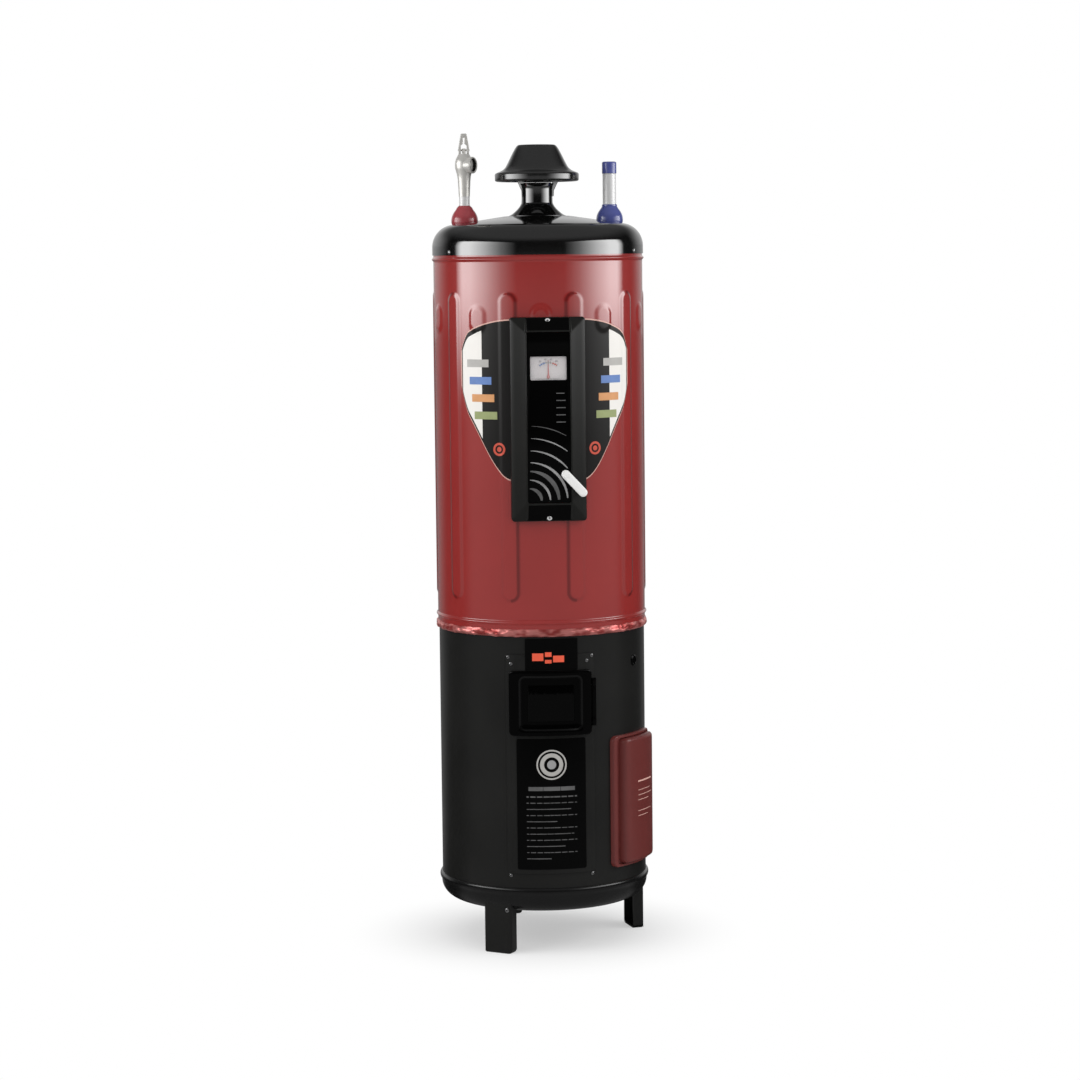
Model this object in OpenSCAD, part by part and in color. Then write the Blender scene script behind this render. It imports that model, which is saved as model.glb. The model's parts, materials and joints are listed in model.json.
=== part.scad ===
// Gas storage water heater, floor standing.
// Millimetres, Z up, origin on the floor on the axis of the body, front towards -Y.
// A bearing is an angle from the front, positive towards +X.

/* [Jackets] */
// Outside diameter of the upper jacket
jacket_d = 420; // [400:1:460]
// How far the lower jacket steps in from the upper one
jacket_step = 2; // [1.5:0.5:4]
// Thickness of the jacket sheet
sheet_t = 1.2; // [0.8:0.1:1.6]
// Length of the upper jacket
upper_len = 750; // [720:1:900]
// Length of the lower jacket
lower_len = 524; // [500:1:600]
// Radius of the pressed beads round the jackets
bead_r = 2.6; // [2:0.1:3.5]
// Height of the lower bead above the edge of the upper jacket
bead_low = 17; // [14:1:40]
// Depth of the upper bead below the edge of the upper jacket
bead_high = 20; // [14:1:30]

/* [Flutes] */
// Number of long flutes
flute_n = 10; // [6:1:12]
// Width of a flute
flute_w = 37; // [30:1:42]
// Length of a flute
flute_len = 610; // [500:1:640]
// Depth of the flute tops below the edge of the jacket
flute_drop = 83; // [70:1:100]
// How far flutes stand out
flute_rise = 1.5; // [1:0.1:2.5]
// Turn of the flute pattern from the front
flute_turn = -4; // [-9:1:9]
// Width of the short arches between the flutes
arch_w = 46; // [36:1:54]
// Length of the short arches
arch_len = 62; // [56:1:90]
// Depth of the arch tops below the edge of the jacket
arch_drop = 106; // [95:1:130]

/* [Joint trim] */
// Height of the trim round the joint of the jackets
trim_h = 16; // [14:1:24]
// Height of the web between the two jacket edges
trim_web = 6; // [4:0.5:8]
// How far the trim bulges beyond the upper jacket
trim_bulge = 5; // [2.5:0.5:6]

/* [Base and legs] */
// Free height under the base pan
leg_h = 84; // [70:1:130]
// Thickness of the base pan
pan_t = 1.5; // [1:0.1:2.5]
// Outside corner radius of the base pan
pan_corner = 34; // [28:1:36]
// How far the pan laps the lower jacket
pan_lap = 14; // [10:1:20]
// Radius of the air opening in the pan
air_r = 55; // [40:1:60]
// Width of a leg
leg_w = 61; // [50:1:80]
// Depth of a leg
leg_depth = 23; // [18:1:32]
// Thickness of the leg sheet
leg_t = 2.5; // [2:0.5:3.5]
// Inset of the leg face from the lower jacket
leg_inset = 4; // [3:0.5:8]
// Bearing of the first leg
leg_turn = -32; // [-40:1:-20]
// Bearing of the right leg
leg_right = 102; // [90:1:110]
// Bearing of the rear leg
leg_rear = 200; // [190:1:230]

/* [Top cover and flue] */
// Thickness of the top cover
cap_t = 1.5; // [1:0.1:2]
// How far the cover laps the upper jacket
cap_lap = 12; // [6:1:16]
// Height of the upright skirt of the cover
cap_skirt = 16; // [12:1:20]
// Shoulder radius of the cover
cap_shoulder = 45; // [35:1:50]
// Slope of the domed top
cap_slope = 8.5; // [5:0.5:12]
// Radius of the flat boss under the flue neck
boss_r = 66; // [62:1:72]
// Outside radius of the flue neck
neck_r = 31.5; // [29:0.5:34]
// Height of the flue neck
neck_h = 65; // [58:1:80]
// Wall of neck and hood
hood_t = 1.5; // [1.2:0.1:2]
// Height of the hood rim above the top of the neck
hood_gap = 4; // [2:0.5:10]
// Radius of the brim of the hood
brim_r = 84.5; // [80:0.5:95]
// Radius of the rolled rim
rim_r = 9.5; // [8:0.5:10]
// Radius of the crown where it leaves the brim
crown_low_r = 62; // [60:0.5:66]
// Radius of the crown near its top
crown_top_r = 47.5; // [46:0.5:49]
// Height of the crown above the brim
crown_h = 54; // [50:1:60]
// Rounding at the top of the crown
crown_round = 13; // [11:0.5:14]
// Radius of the flue outlet
outlet_r = 36; // [33:0.5:38]
// Length of the turned-in outlet collar
outlet_len = 14; // [12:1:16]

/* [Tank] */
// Outside radius of the tank
tank_r = 175; // [165:1:176]
// Wall of the tank
tank_t = 2.5; // [2:0.5:4]
// Dish radius of the tank heads
dish_r = 320; // [290:5:400]
// Height of the tank bottom above the jacket joint
tank_rise = 18; // [16:1:30]
// Depth of the tank top below the jacket top
tank_drop = 68; // [65:1:90]
// Wall of the flue tube
flue_t = 1.8; // [1.5:0.1:2.5]
// Radius of the anode rod
anode_r = 11; // [8:1:12]
// Wall of the support skirt
skirt_t = 2; // [1.5:0.5:2.5]

/* [Water connections] */
// Distance of the pipes from the axis
pipe_offset = 146; // [140:1:150]
// Outside radius of the cold nipple
cold_r = 13.45; // [12.5:0.05:14]
// Outside radius of the hot nipple
hot_r = 10.65; // [9.5:0.05:11]
// Wall of the nipples
pipe_t = 2.65; // [2:0.05:3]
// Height of the cold nipple above the cover edge
cold_h = 182; // [170:1:200]
// Length of thread on the cold nipple
thread_len = 22; // [20:1:30]
// Base radius of the pipe collars
collar_r = 27; // [25:0.5:30]
// Top radius of the pipe collars
collar_top_r = 16; // [15.5:0.5:18]
// Height of the pipe collars
collar_h = 38; // [30:1:44]
// Wall of the cold cap
cold_cap_t = 1.6; // [1:0.1:2]
// Radius of the relief valve body
relief_r = 18; // [17.5:0.5:20]
// Height of the relief valve body
relief_h = 42; // [40:1:50]
// Height of the relief valve above the cover edge
relief_z = 157; // [150:1:165]
// Outside radius of the outlet port
port_r = 16.5; // [16:0.5:17]
// Radius of the outlet port bore
port_bore_r = 13.2; // [12:0.1:13.6]
// Reach of the outlet port from the valve axis
port_reach = 22; // [20:1:28]
// Depth of the outlet port bore
port_deep = 16; // [14:1:17]
// Bearing of the outlet port
port_turn = 55; // [40:1:70]
// Height of the test lever
lever_h = 40; // [34:1:46]
// Radius of the test lever pin
lever_pin_r = 1.8; // [1.5:0.1:2.2]
// Height of the drain above the tank bottom
drain_rise = 34; // [30:1:50]
// Radius of the drain pipe
drain_r = 10.65; // [9:0.05:11]
// Radius of the drain valve body
drain_body_r = 13; // [12.5:0.5:16]
// Radius of the drain hose tail
tail_r = 8; // [6:0.5:9]
// Length of the drain hose tail
tail_len = 20; // [16:1:30]
// Length of the drain handle
handle_len = 42; // [34:1:50]

/* [Control panel] */
// Width of the panel housing
panel_w = 147; // [140:1:156]
// Height of the panel housing
panel_h = 398; // [380:1:410]
// Depth of the panel top below the jacket top
panel_drop = 133; // [120:1:150]
// How far the panel stands out from the jacket
panel_stand = 28; // [26:0.5:34]
// Depth of the bevel round the housing
panel_bevel = 15; // [10:0.5:16]
// Wall of the housing
panel_t = 3; // [2.5:0.5:3.5]
// Width of the insert
insert_w = 97; // [90:1:100]
// Height of the insert
insert_h = 332; // [320:1:340]
// Height of the insert above the panel bottom
insert_rise = 37; // [30:1:44]
// Thickness of the insert
insert_t = 3; // [2:0.5:4]
// How far the insert sits below the rim
insert_deep = 2.5; // [1.5:0.5:4]
// Width of the thermometer window
gauge_w = 70; // [64:1:76]
// Height of the thermometer window
gauge_h = 45; // [42:1:50]
// Height of the thermometer above the panel bottom
gauge_rise = 299; // [280:1:305]
// Depth of the thermometer case
gauge_deep = 18; // [14:1:18]
// Length of the needle
needle_len = 33; // [28:1:34]
// Radius of the needle pivot
needle_pin_r = 1; // [0.8:0.1:1.5]
// Radius of the thermometer stem
stem_r = 4; // [3:0.5:5]
// Sideways place of the selector pivot
selector_x = 31; // [26:1:44]
// Height of the selector pivot above the panel bottom
selector_rise = 93; // [75:1:130]
// Length of the selector lever between its rounded ends
selector_len = 49; // [40:1:55]
// Width of the selector lever
selector_w = 17; // [14:0.5:20]
// Thickness of the selector lever
selector_t = 9; // [6:0.5:10]
// Lean of the selector lever below level
selector_lean = 47; // [30:1:60]
// Radius of the selector pivot
selector_pin_r = 4; // [3:0.5:5]

/* [Burner door] */
// Width of the front panel
front_w = 174; // [172:1:184]
// Depth of the front panel top below the joint
front_drop = 40; // [30:1:48]
// Height of the front panel bottom above the pan rim
front_rise = 33; // [15:1:40]
// Thickness of the front panel
front_t = 2.4; // [2:0.2:3]
// Width of the door
door_w = 164; // [158:1:166]
// Height of the door
door_h = 129; // [122:1:134]
// Depth of the door centre below the joint
door_drop = 136; // [125:1:144]
// Thickness of the door
door_t = 5; // [4:0.5:6]
// Gap between the door and the front panel
door_gap = 0.8; // [0.5:0.1:1]
// Width of the doorway
way_w = 136; // [120:1:140]
// Height of the doorway
way_h = 104; // [90:1:108]
// Width of the sight glass
glass_w = 92; // [80:1:100]
// Height of the sight glass
glass_h = 72; // [64:1:80]
// Thickness of the sight glass
glass_t = 2.4; // [2:0.2:3]
// Width of the instruction plate
plate_w = 137; // [120:1:150]
// Height of the instruction plate
plate_h = 262; // [240:1:265]
// Thickness of the instruction plate
plate_t = 0.8; // [0.6:0.1:1.2]

/* [Hinges] */
// Radius of the hinge pins
pin_r = 2.2; // [1.8:0.1:2.5]
// Radius of the hinge knuckles
knuckle_r = 4.2; // [4:0.1:4.5]
// Length of a fixed knuckle
knuckle_len = 16; // [12:1:20]

/* [Gas control] */
// Bearing of the control cover
control_turn = 55; // [53:1:58]
// Width of the control cover
cover_w = 142; // [136:1:146]
// Height of the control cover
cover_h = 265; // [250:1:275]
// Height of the cover centre above the pan rim
cover_rise = 166; // [150:1:175]
// How far the cover stands out from the jacket
cover_stand = 21; // [20:0.5:26]
// Wall of the control cover
cover_t = 2.5; // [2:0.5:3]
// Width of the gas valve
valve_w = 84; // [76:1:86]
// Height of the gas valve
valve_h = 110; // [100:1:114]
// Depth of the gas valve
valve_deep = 50; // [44:1:54]
// Radius of the thermostat dial
dial_r = 22; // [19:0.5:23]
// Height of the thermostat dial
dial_h = 13; // [10:0.5:13]
// Radius of the pilot button
button_r = 7; // [6:0.5:8]
// Travel of the pilot button
button_travel = 4; // [3:0.5:5]
// Outside radius of the gas pipe
gas_r = 10.65; // [9:0.05:11]
// Outside radius of the manifold
manifold_r = 7; // [6:0.5:8]
// Radius of the main burner
burner_r = 80; // [70:1:82]
// Height of the main burner
burner_h = 24; // [20:1:28]
// Height of the burner above the base pan
burner_rise = 276; // [260:1:285]
// Radius of the burner mixing tube
venturi_r = 14; // [12:0.5:15]

/* [Clearances] */
// Gap between fixed curved pieces
fit = 0.3; // [0.2:0.05:0.4]
// Radial clearance of turning pins
run = 0.05; // [0.03:0.01:0.08]

/* [Hidden] */
$fn = 72;

// radii of the shells
jacket_r = jacket_d/2;
lower_r = jacket_r - jacket_step;
upper_in_r = jacket_r - sheet_t;
lower_in_r = lower_r - sheet_t;
pan_in_r = lower_r + fit;
pan_r = pan_in_r + pan_t;
cap_in_r = jacket_r + fit;
cap_r = cap_in_r + cap_t;
neck_in_r = neck_r - hood_t;
flue_r = neck_in_r - fit;
flue_in_r = flue_r - flue_t;

// levels
pan_z = leg_h;
floor_z = pan_z + pan_t;
seat_z = pan_z + pan_corner;
rim_z = seat_z + pan_lap;
joint_z = seat_z + lower_len;
upper_z = joint_z + trim_web;
top_z = upper_z + upper_len;
cap_z = top_z - cap_lap;
tank_z = joint_z + tank_rise;
tank_top_z = top_z - tank_drop;
dish_in = sqrt(dish_r*dish_r - tank_r*tank_r);

// cover profile: centre of the shoulder, and where the dome leaves it
shoulder_x = cap_r - cap_shoulder;
shoulder_z = cap_z + cap_skirt;
dome_x = shoulder_x + cap_shoulder*sin(cap_slope);
dome_z = shoulder_z + cap_shoulder*cos(cap_slope);
boss_z = dome_z + (dome_x - boss_r)*tan(cap_slope);
function dome_at(r) = dome_z + (dome_x - r)*tan(cap_slope);

// flue neck and hood
neck_z = boss_z + neck_h;
brim_z = neck_z + hood_gap;
brim_top_z = brim_z + 2*rim_r;
rim_x = brim_r - rim_r;
crown_z = brim_top_z + crown_h;
crown_kink_z = crown_z - crown_round;
crown_lean = (crown_low_r - crown_top_r)/(crown_kink_z - brim_top_z);
crown_wall = hood_t*sqrt(1 + crown_lean*crown_lean);
function crown_in(z) = crown_low_r - crown_lean*(z - brim_top_z) - crown_wall;

// water connections
socket_z = tank_top_z + sqrt(dish_r*dish_r - pipe_offset*pipe_offset) - dish_in;
cold_top_z = cap_z + cold_h;
cold_in_r = cold_r - pipe_t;
thread_deep = 0.5;
thread_r = cold_r - thread_deep;
thread_z = cold_top_z - thread_len;
collar_z = dome_at(pipe_offset) - 4;
collar_top_z = collar_z + collar_h;
hot_in_r = hot_r - pipe_t;
relief_low_z = cap_z + relief_z;
relief_seat_z = relief_low_z + 6;
relief_top_z = relief_low_z + relief_h;
port_z = relief_low_z + relief_h/2 + 1;
lever_pin_z = relief_top_z + 10;
drain_z = tank_z + drain_rise;
drain_y = jacket_r + 5;
drain_body_len = 22;
anode_y = 100;

// control panel, measured outwards from the axis
panel_top_z = top_z - panel_drop;
panel_z = panel_top_z - panel_h;
panel_y = jacket_r + panel_stand;
rim_in_y = panel_y - panel_bevel;
insert_y = panel_y - insert_deep;
insert_back_y = insert_y - insert_t;
insert_z = panel_z + insert_rise;
gauge_z = panel_z + gauge_rise;
dial_y = insert_back_y - 3.2;
pivot_z = gauge_z - gauge_h/2 + 6;
selector_z = panel_z + selector_rise;
selector_y = panel_y + 3;
screw_in = 8;

// burner door
front_z = rim_z + front_rise;
front_top_z = joint_z - front_drop;
front_in_r = lower_r + fit/2;
front_r = front_in_r + front_t;
door_z = joint_z - door_drop;
door_in_r = front_r + door_gap;
door_r = door_in_r + door_t;
plate_z = door_z - door_h/2 - 6 - plate_h;
door_pin_x = door_w/2 + knuckle_r + 0.6;
door_pin_y = sqrt(door_r*door_r - door_pin_x*door_pin_x) - 1;
door_pin_r = sqrt(door_pin_x*door_pin_x + door_pin_y*door_pin_y);
door_pin_turn = atan(door_pin_x/door_pin_y);
door_knuckle_len = 62;

// gas control
control_z = rim_z + cover_rise;
cover_r = lower_r + cover_stand;
cover_low_r = lower_r + 0.8;
cover_pin_x = cover_w/2 + knuckle_r + 0.6;
cover_pin_y = sqrt((lower_r + 8.5)*(lower_r + 8.5) - cover_pin_x*cover_pin_x);
cover_pin_r = lower_r + 8.5;
cover_pin_turn = control_turn + atan(cover_pin_x/cover_pin_y);
cover_knuckle_len = 120;
valve_y = lower_in_r - 1;
valve_back_y = valve_y - valve_deep;
valve_z = control_z - 2;
valve_top_z = valve_z + valve_h/2;
dial_x = -12;
dial_up = 16;
button_x = 26;
button_up = -26;
elbow_y = valve_back_y + 14;
elbow_z = valve_z - valve_h/2 - 18;
elbow_r = gas_r + 5;
gas_x = elbow_y*sin(control_turn);
gas_y = -elbow_y*cos(control_turn);
gas_end_y = sqrt(lower_r*lower_r - pow(gas_x - 26, 2)) + 8;
gas_thread_r = gas_r - 0.25;
gas_thread_len = 30;
burner_z = pan_z + burner_rise;
mix_z = burner_z + burner_h/2;
manifold_y = valve_back_y + 12;
skirt_way_z = max(valve_top_z, mix_z + manifold_r) + 5;
venturi_y = 118;

// thermostat bulb against the tank, above the valve
bulb_r = 5;
bulb_len = 60;
bulb_x = -valve_w*0.3;
bulb_y = sqrt(pow(tank_r + bulb_r + fit, 2) - bulb_x*bulb_x);
bulb_z = tank_z + 34;
capillary_r = 1.5;

// burner stand, baffle and struts
bracket_t = 3;
bracket_w = 30;
bracket_x = burner_r - 8;
bracket_foot = 27;
baffle_t = 1.5;
baffle_rise = 110;
baffle_pitch = 90;
flap_w = 16;
flap_h = 36;
strut_t = 1.5;
strut_h = 15;

// places near the burner, as bearing and radius
pilot_turn = 12;
pilot_out = burner_r + 14;
couple_turn = 21;
couple_out = burner_r + 18;

red = [0.55, 0.12, 0.11];
black = [0.05, 0.05, 0.05];
steel = [0.6, 0.6, 0.62];

// turns a piece built at the front to a bearing
module bearing(a) {
  rotate([0, 0, a]) children();
}

// upright tube on the axis
module tube(r_out, r_in, z0, z1) {
  translate([0, 0, z0]) difference() {
    cylinder(r = r_out, h = z1 - z0);
    translate([0, 0, -1]) cylinder(r = r_in, h = z1 - z0 + 2);
  }
}

// cylinder along the front direction, from distance y0 to distance y1 in front of the axis
module front_rod(r, y0, y1, x, z) {
  translate([x, -y0, z]) rotate([90, 0, 0]) cylinder(r = r, h = y1 - y0);
}

// box standing between two distances in front of the axis
module front_box(w, y0, y1, z0, z1) {
  translate([-w/2, -y1, z0]) cube([w, y1 - y0, z1 - z0]);
}

// rectangle with round corners, centred
module round_rect(w, h, r) {
  square([w - 2*r, h], center = true);
  square([w, h - 2*r], center = true);
  for (x = [-1, 1], z = [-1, 1])
    translate([x*(w/2 - r), z*(h/2 - r)]) circle(r);
}

// rounded window cut straight through from the front
module front_window(w, h, r, z, y0, y1) {
  translate([0, -y0, z]) rotate([90, 0, 0]) linear_extrude(y1 - y0) round_rect(w, h, r);
}

// piece of a cylindrical wall, cut to a rounded window
module curved_plate(r_in, r_out, w, h, r, z) {
  intersection() {
    tube(r_out, r_in, z - h/2 - 1, z + h/2 + 1);
    front_window(w, h, r, z, r_in*0.6, r_out + 5);
  }
}

// round rod from one point to another
module rod(a, b, r) {
  d = b - a;
  l = norm(d);
  translate(a) rotate([0, acos(d[2]/l), atan2(d[1], d[0])]) cylinder(r = r, h = l);
}

// profile of a pan with round bottom corners
module dish_2d(r, z0, z1, c) {
  translate([0, z0 + c]) square([r, z1 - z0 - c]);
  translate([0, z0]) square([r - c, z1 - z0]);
  intersection() {
    translate([r - c, z0 + c]) circle(c);
    translate([r - c - 1, z0 - 1]) square([c + 2, c + 2]);
  }
}

// solid under the outside of the base pan
module pan_envelope() {
  rotate_extrude() dish_2d(pan_r, pan_z, rim_z, pan_corner);
}

module base_pan() color(black) {
  difference() {
    rotate_extrude() difference() {
      union() {
        dish_2d(pan_r, pan_z, rim_z, pan_corner);
        translate([pan_r + 0.6, rim_z - bead_r - 0.2]) circle(bead_r);
      }
      dish_2d(pan_in_r, floor_z, rim_z + 5, pan_corner - pan_t);
    }
    translate([0, 0, pan_z - 1]) cylinder(r = air_r, h = pan_t + 2);
  }
}

module leg() {
  difference() {
    union() {
      front_box(leg_w, lower_r - leg_inset - leg_t, lower_r - leg_inset, 0, pan_z + pan_corner);
      for (s = [-1, 1])
        translate([s*(leg_w - leg_t)/2, 0, 0])
          front_box(leg_t, lower_r - leg_inset - leg_depth, lower_r - leg_inset, 0, pan_z + pan_corner);
      front_box(leg_w, lower_r - leg_inset - leg_depth, lower_r - leg_inset, 0, leg_t);
    }
    pan_envelope();
  }
}

module leg_1() color(black) bearing(leg_turn) leg();
module leg_2() color(black) bearing(leg_right) leg();
module leg_3() color(black) bearing(leg_rear) leg();

module leg_screws() color(steel) {
  for (a = [leg_turn, leg_right, leg_rear])
    bearing(a)
      front_rod(4.5, lower_r - leg_inset, lower_r - leg_inset + 2.5, leg_w/2 - 9, pan_z + 4);
}

// straight cut for the gas pipe through the walls at the back
module gas_cut() {
  translate([gas_x, 0, elbow_z]) rotate([-90, 0, 0]) cylinder(r = gas_r + fit, h = jacket_d);
}

module lower_jacket() color(black) {
  difference() {
    tube(lower_r, lower_in_r, seat_z, joint_z);
    front_window(way_w, way_h, 10, door_z, lower_r/2, lower_r + 10);
    bearing(control_turn) front_window(valve_w + 8, valve_h + 8, 6, valve_z, lower_r/2, lower_r + 10);
    gas_cut();
  }
}

module joint_trim() color(red) {
  low = joint_z - (trim_h - trim_web)/2;
  rotate_extrude() difference() {
    union() {
      translate([lower_in_r - 1.5, low]) square([jacket_step + sheet_t + 3, trim_h]);
      intersection() {
        translate([jacket_r + trim_bulge - trim_h*0.7, low + trim_h/2]) circle(trim_h*0.7);
        translate([lower_r, low]) square([50, trim_h]);
      }
    }
    translate([lower_in_r - 0.1, low - 1]) square([sheet_t + 0.2, joint_z - low + 1]);
    translate([upper_in_r - 0.1, upper_z]) square([sheet_t + 0.2, trim_h]);
  }
}

// stadium cut from a thin raised wall
module raised(w, len, z_top) {
  intersection() {
    tube(jacket_r + flute_rise, upper_in_r + sheet_t/2, z_top - len, z_top);
    translate([0, -upper_in_r/2, z_top - len/2]) rotate([90, 0, 0])
      linear_extrude(jacket_r) {
        square([w, len - w], center = true);
        for (s = [-1, 1]) translate([0, s*(len - w)/2]) circle(w/2);
      }
  }
}

module upper_jacket() color(red) {
  difference() {
    union() {
      tube(jacket_r, upper_in_r, upper_z, top_z);
      rotate_extrude() {
        for (z = [upper_z + bead_low, top_z - bead_high])
          difference() {
            translate([jacket_r - 0.5, z]) circle(bead_r);
            translate([0, z - 10]) square([upper_in_r + sheet_t/2, 20]);
          }
      }
      for (i = [0:flute_n - 1]) {
        bearing(flute_turn + (i + 0.5)*360/flute_n) raised(flute_w, flute_len, top_z - flute_drop);
        bearing(flute_turn + i*360/flute_n) raised(arch_w, arch_len, top_z - arch_drop);
      }
    }
    // flat seat for the control panel
    difference() {
      front_box(panel_w + 4, jacket_r*0.7, jacket_r + 10, panel_z - 2, panel_top_z + 2);
      translate([0, 0, panel_z - 5]) cylinder(r = jacket_r, h = panel_h + 10);
    }
    front_rod(stem_r + 2, jacket_r - 20, jacket_r + 10, 0, gauge_z);
    translate([0, jacket_r - 20, drain_z]) rotate([-90, 0, 0]) cylinder(r = drain_r + 1, h = 40);
  }
}

// solid under the top cover, o is the depth below its outside
module cap_2d(o, drop) {
  translate([0, cap_z - drop]) square([cap_r - o, cap_skirt + drop]);
  intersection() {
    translate([shoulder_x, shoulder_z]) circle(cap_shoulder - o);
    translate([0, shoulder_z - 1]) square([cap_r + 1, cap_shoulder + 2]);
  }
  polygon([
    [0, cap_z], [shoulder_x + (cap_shoulder - o)*sin(cap_slope), cap_z],
    [shoulder_x + (cap_shoulder - o)*sin(cap_slope), shoulder_z + (cap_shoulder - o)*cos(cap_slope)],
    [boss_r - o*tan(cap_slope/2), boss_z - o], [0, boss_z - o]
  ]);
}

module cap_envelope() {
  rotate_extrude() cap_2d(0, 0);
}

module top_cover() color(black) {
  difference() {
    rotate_extrude() difference() {
      cap_2d(0, 0);
      cap_2d(cap_t, 5);
    }
    translate([0, 0, cap_z]) cylinder(r = flue_r + 8, h = 200);
    translate([pipe_offset, 0, cap_z]) cylinder(r = cold_r + 1, h = 200);
    translate([-pipe_offset, 0, cap_z]) cylinder(r = hot_r + 1, h = 200);
  }
}

module cover_screws() color(steel) {
  for (a = [-60, 60, 180])
    bearing(a) front_rod(4, cap_r + 0.01, cap_r + 2, 0, cap_z + 6);
}

module support_skirt() color(steel) {
  difference() {
    tube(tank_r, tank_r - skirt_t, floor_z, tank_z);
    front_window(way_w, way_h, 10, door_z, tank_r/2, tank_r + 10);
    bearing(control_turn) front_box(valve_w + 12, tank_r/2, tank_r + 10, elbow_z - 30, skirt_way_z);
    gas_cut();
  }
}

module tank_2d(o) {
  difference() {
    intersection() {
      translate([0, tank_z]) square([tank_r - o, tank_top_z - tank_z + 120]);
      union() {
        translate([0, tank_top_z - dish_in]) circle(dish_r - o);
        translate([0, tank_z]) square([tank_r, tank_top_z - tank_z - 60]);
      }
    }
    translate([0, tank_z - dish_in]) circle(dish_r + o);
  }
}

module tank() color(steel) {
  difference() {
    union() {
      rotate_extrude() difference() {
        tank_2d(0);
        tank_2d(tank_t);
      }
      for (x = [-1, 1])
        translate([x*pipe_offset, 0, socket_z - 14]) cylinder(r = 20, h = 32);
      translate([0, anode_y, tank_top_z + 30]) cylinder(r = anode_r + 8, h = 24);
      translate([0, tank_r - tank_t/2, drain_z]) rotate([-90, 0, 0])
        cylinder(r = drain_r + 5, h = 16);
    }
    translate([0, 0, tank_z - 20]) cylinder(r = flue_r + 0.1, h = 1200);
    translate([pipe_offset, 0, socket_z - 40]) cylinder(r = thread_r + 0.2, h = 100);
    translate([-pipe_offset, 0, socket_z - 40]) cylinder(r = hot_r + 0.1, h = 100);
    translate([0, anode_y, tank_top_z - 20]) cylinder(r = anode_r + 0.2, h = 120);
    translate([0, tank_r - 20, drain_z]) rotate([-90, 0, 0]) cylinder(r = drain_r + 0.1, h = 60);
  }
}

module insulation() color([0.8, 0.75, 0.5]) {
  difference() {
    tube(upper_in_r - fit, tank_r + fit, tank_z + 2, tank_top_z + 55);
    front_rod(stem_r + 0.5, tank_r - 20, jacket_r, 0, gauge_z);
    translate([0, tank_r - 20, drain_z]) rotate([-90, 0, 0]) cylinder(r = drain_r + 6, h = 80);
    bearing(control_turn) translate([bulb_x, 0, 0])
      front_box(2*bulb_r + 2, tank_r - 30, bulb_y + bulb_r + 1, tank_z - 10, bulb_z + bulb_len + 10);
  }
}

module flue_tube() color(steel) {
  tube(flue_r, flue_in_r, tank_z + dish_r - dish_in - 6, neck_z - 1);
}

module flue_baffle() color(steel) {
  w = 2*(flue_in_r - fit);
  low = tank_z + baffle_rise;
  translate([-w/2, -baffle_t/2, low]) cube([w, baffle_t, neck_z - 40 - low]);
  translate([-5, -baffle_t/2, neck_z - 45]) cube([10, baffle_t, 46]);
  translate([-flue_r + 1, -baffle_t/2, neck_z - 1]) cube([2*flue_r - 2, baffle_t, 2*baffle_t]);
  for (i = [0:5], s = [-1, 1])
    translate([s*w/4, 0, low + 60 + i*baffle_pitch]) rotate([s*50, 0, 0])
      translate([-flap_w/2, -1, -flap_h/2]) cube([flap_w, baffle_t, flap_h]);
}

module flue_neck() color(black) {
  rotate_extrude() polygon([
    [neck_in_r + 6, boss_z], [boss_r - 4, boss_z], [boss_r - 4, boss_z + 2], [neck_r + 3, boss_z + 25],
    [neck_r, boss_z + 31], [neck_r, neck_z - 10], [neck_r + 1.5, neck_z], [neck_in_r, neck_z],
    [neck_in_r, boss_z + 28], [neck_in_r + 6, boss_z + 18]
  ]);
}

// solid inside the outline of the hood, o is the depth below its outside
module hood_2d(o, drop) {
  kink = crown_kink_z;
  w = o*sqrt(1 + crown_lean*crown_lean);
  low = crown_low_r - w;
  translate([0, brim_z - drop]) square([rim_x, 2*rim_r - o + drop]);
  translate([rim_x, brim_z + rim_r]) circle(rim_r - o);
  polygon([
    [0, brim_top_z - o - 1], [low + crown_lean*(o + 1), brim_top_z - o - 1],
    [crown_top_r - w, kink], [0, kink]
  ]);
  translate([crown_top_r - crown_round, kink]) circle(crown_round - o);
  translate([0, kink - 1]) square([crown_top_r - crown_round, crown_round - o + 1]);
}

module draft_hood() color(black) {
  difference() {
    union() {
      rotate_extrude() difference() {
        hood_2d(0, 0);
        hood_2d(hood_t, 20);
      }
      tube(outlet_r + hood_t, outlet_r - 1, crown_z - outlet_len, crown_z - hood_t/2);
    }
    translate([0, 0, crown_z - 40]) cylinder(r = outlet_r, h = 60);
  }
}

module hood_struts() color(black) {
  low = brim_top_z + 3;
  high = brim_top_z + 13;
  for (i = [0:2])
    bearing(90 + 120*i) translate([0, strut_t/2, 0]) rotate([90, 0, 0]) linear_extrude(strut_t) polygon([
      [neck_r + 0.02, neck_z - 11 - strut_h], [neck_r + 0.02, neck_z - 11], [neck_r + 2, neck_z + 2],
      [crown_in(high) - 0.05, high], [crown_in(low) - 0.05, low], [neck_r + 6, neck_z - 14],
      [neck_r + 5, neck_z - 11 - strut_h]
    ]);
}

module cold_nipple() color(steel) {
  translate([pipe_offset, 0, 0]) difference() {
    union() {
      translate([0, 0, socket_z - 22]) cylinder(r = thread_r, h = collar_top_z - socket_z + 24);
      translate([0, 0, collar_top_z + 0.5]) cylinder(r = cold_r, h = thread_z - collar_top_z - 0.5);
      translate([0, 0, thread_z - 1]) cylinder(r = thread_r, h = thread_len + 1);
    }
    translate([0, 0, socket_z - 30]) cylinder(r = cold_in_r, h = cold_top_z - socket_z + 40);
  }
}

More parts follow.
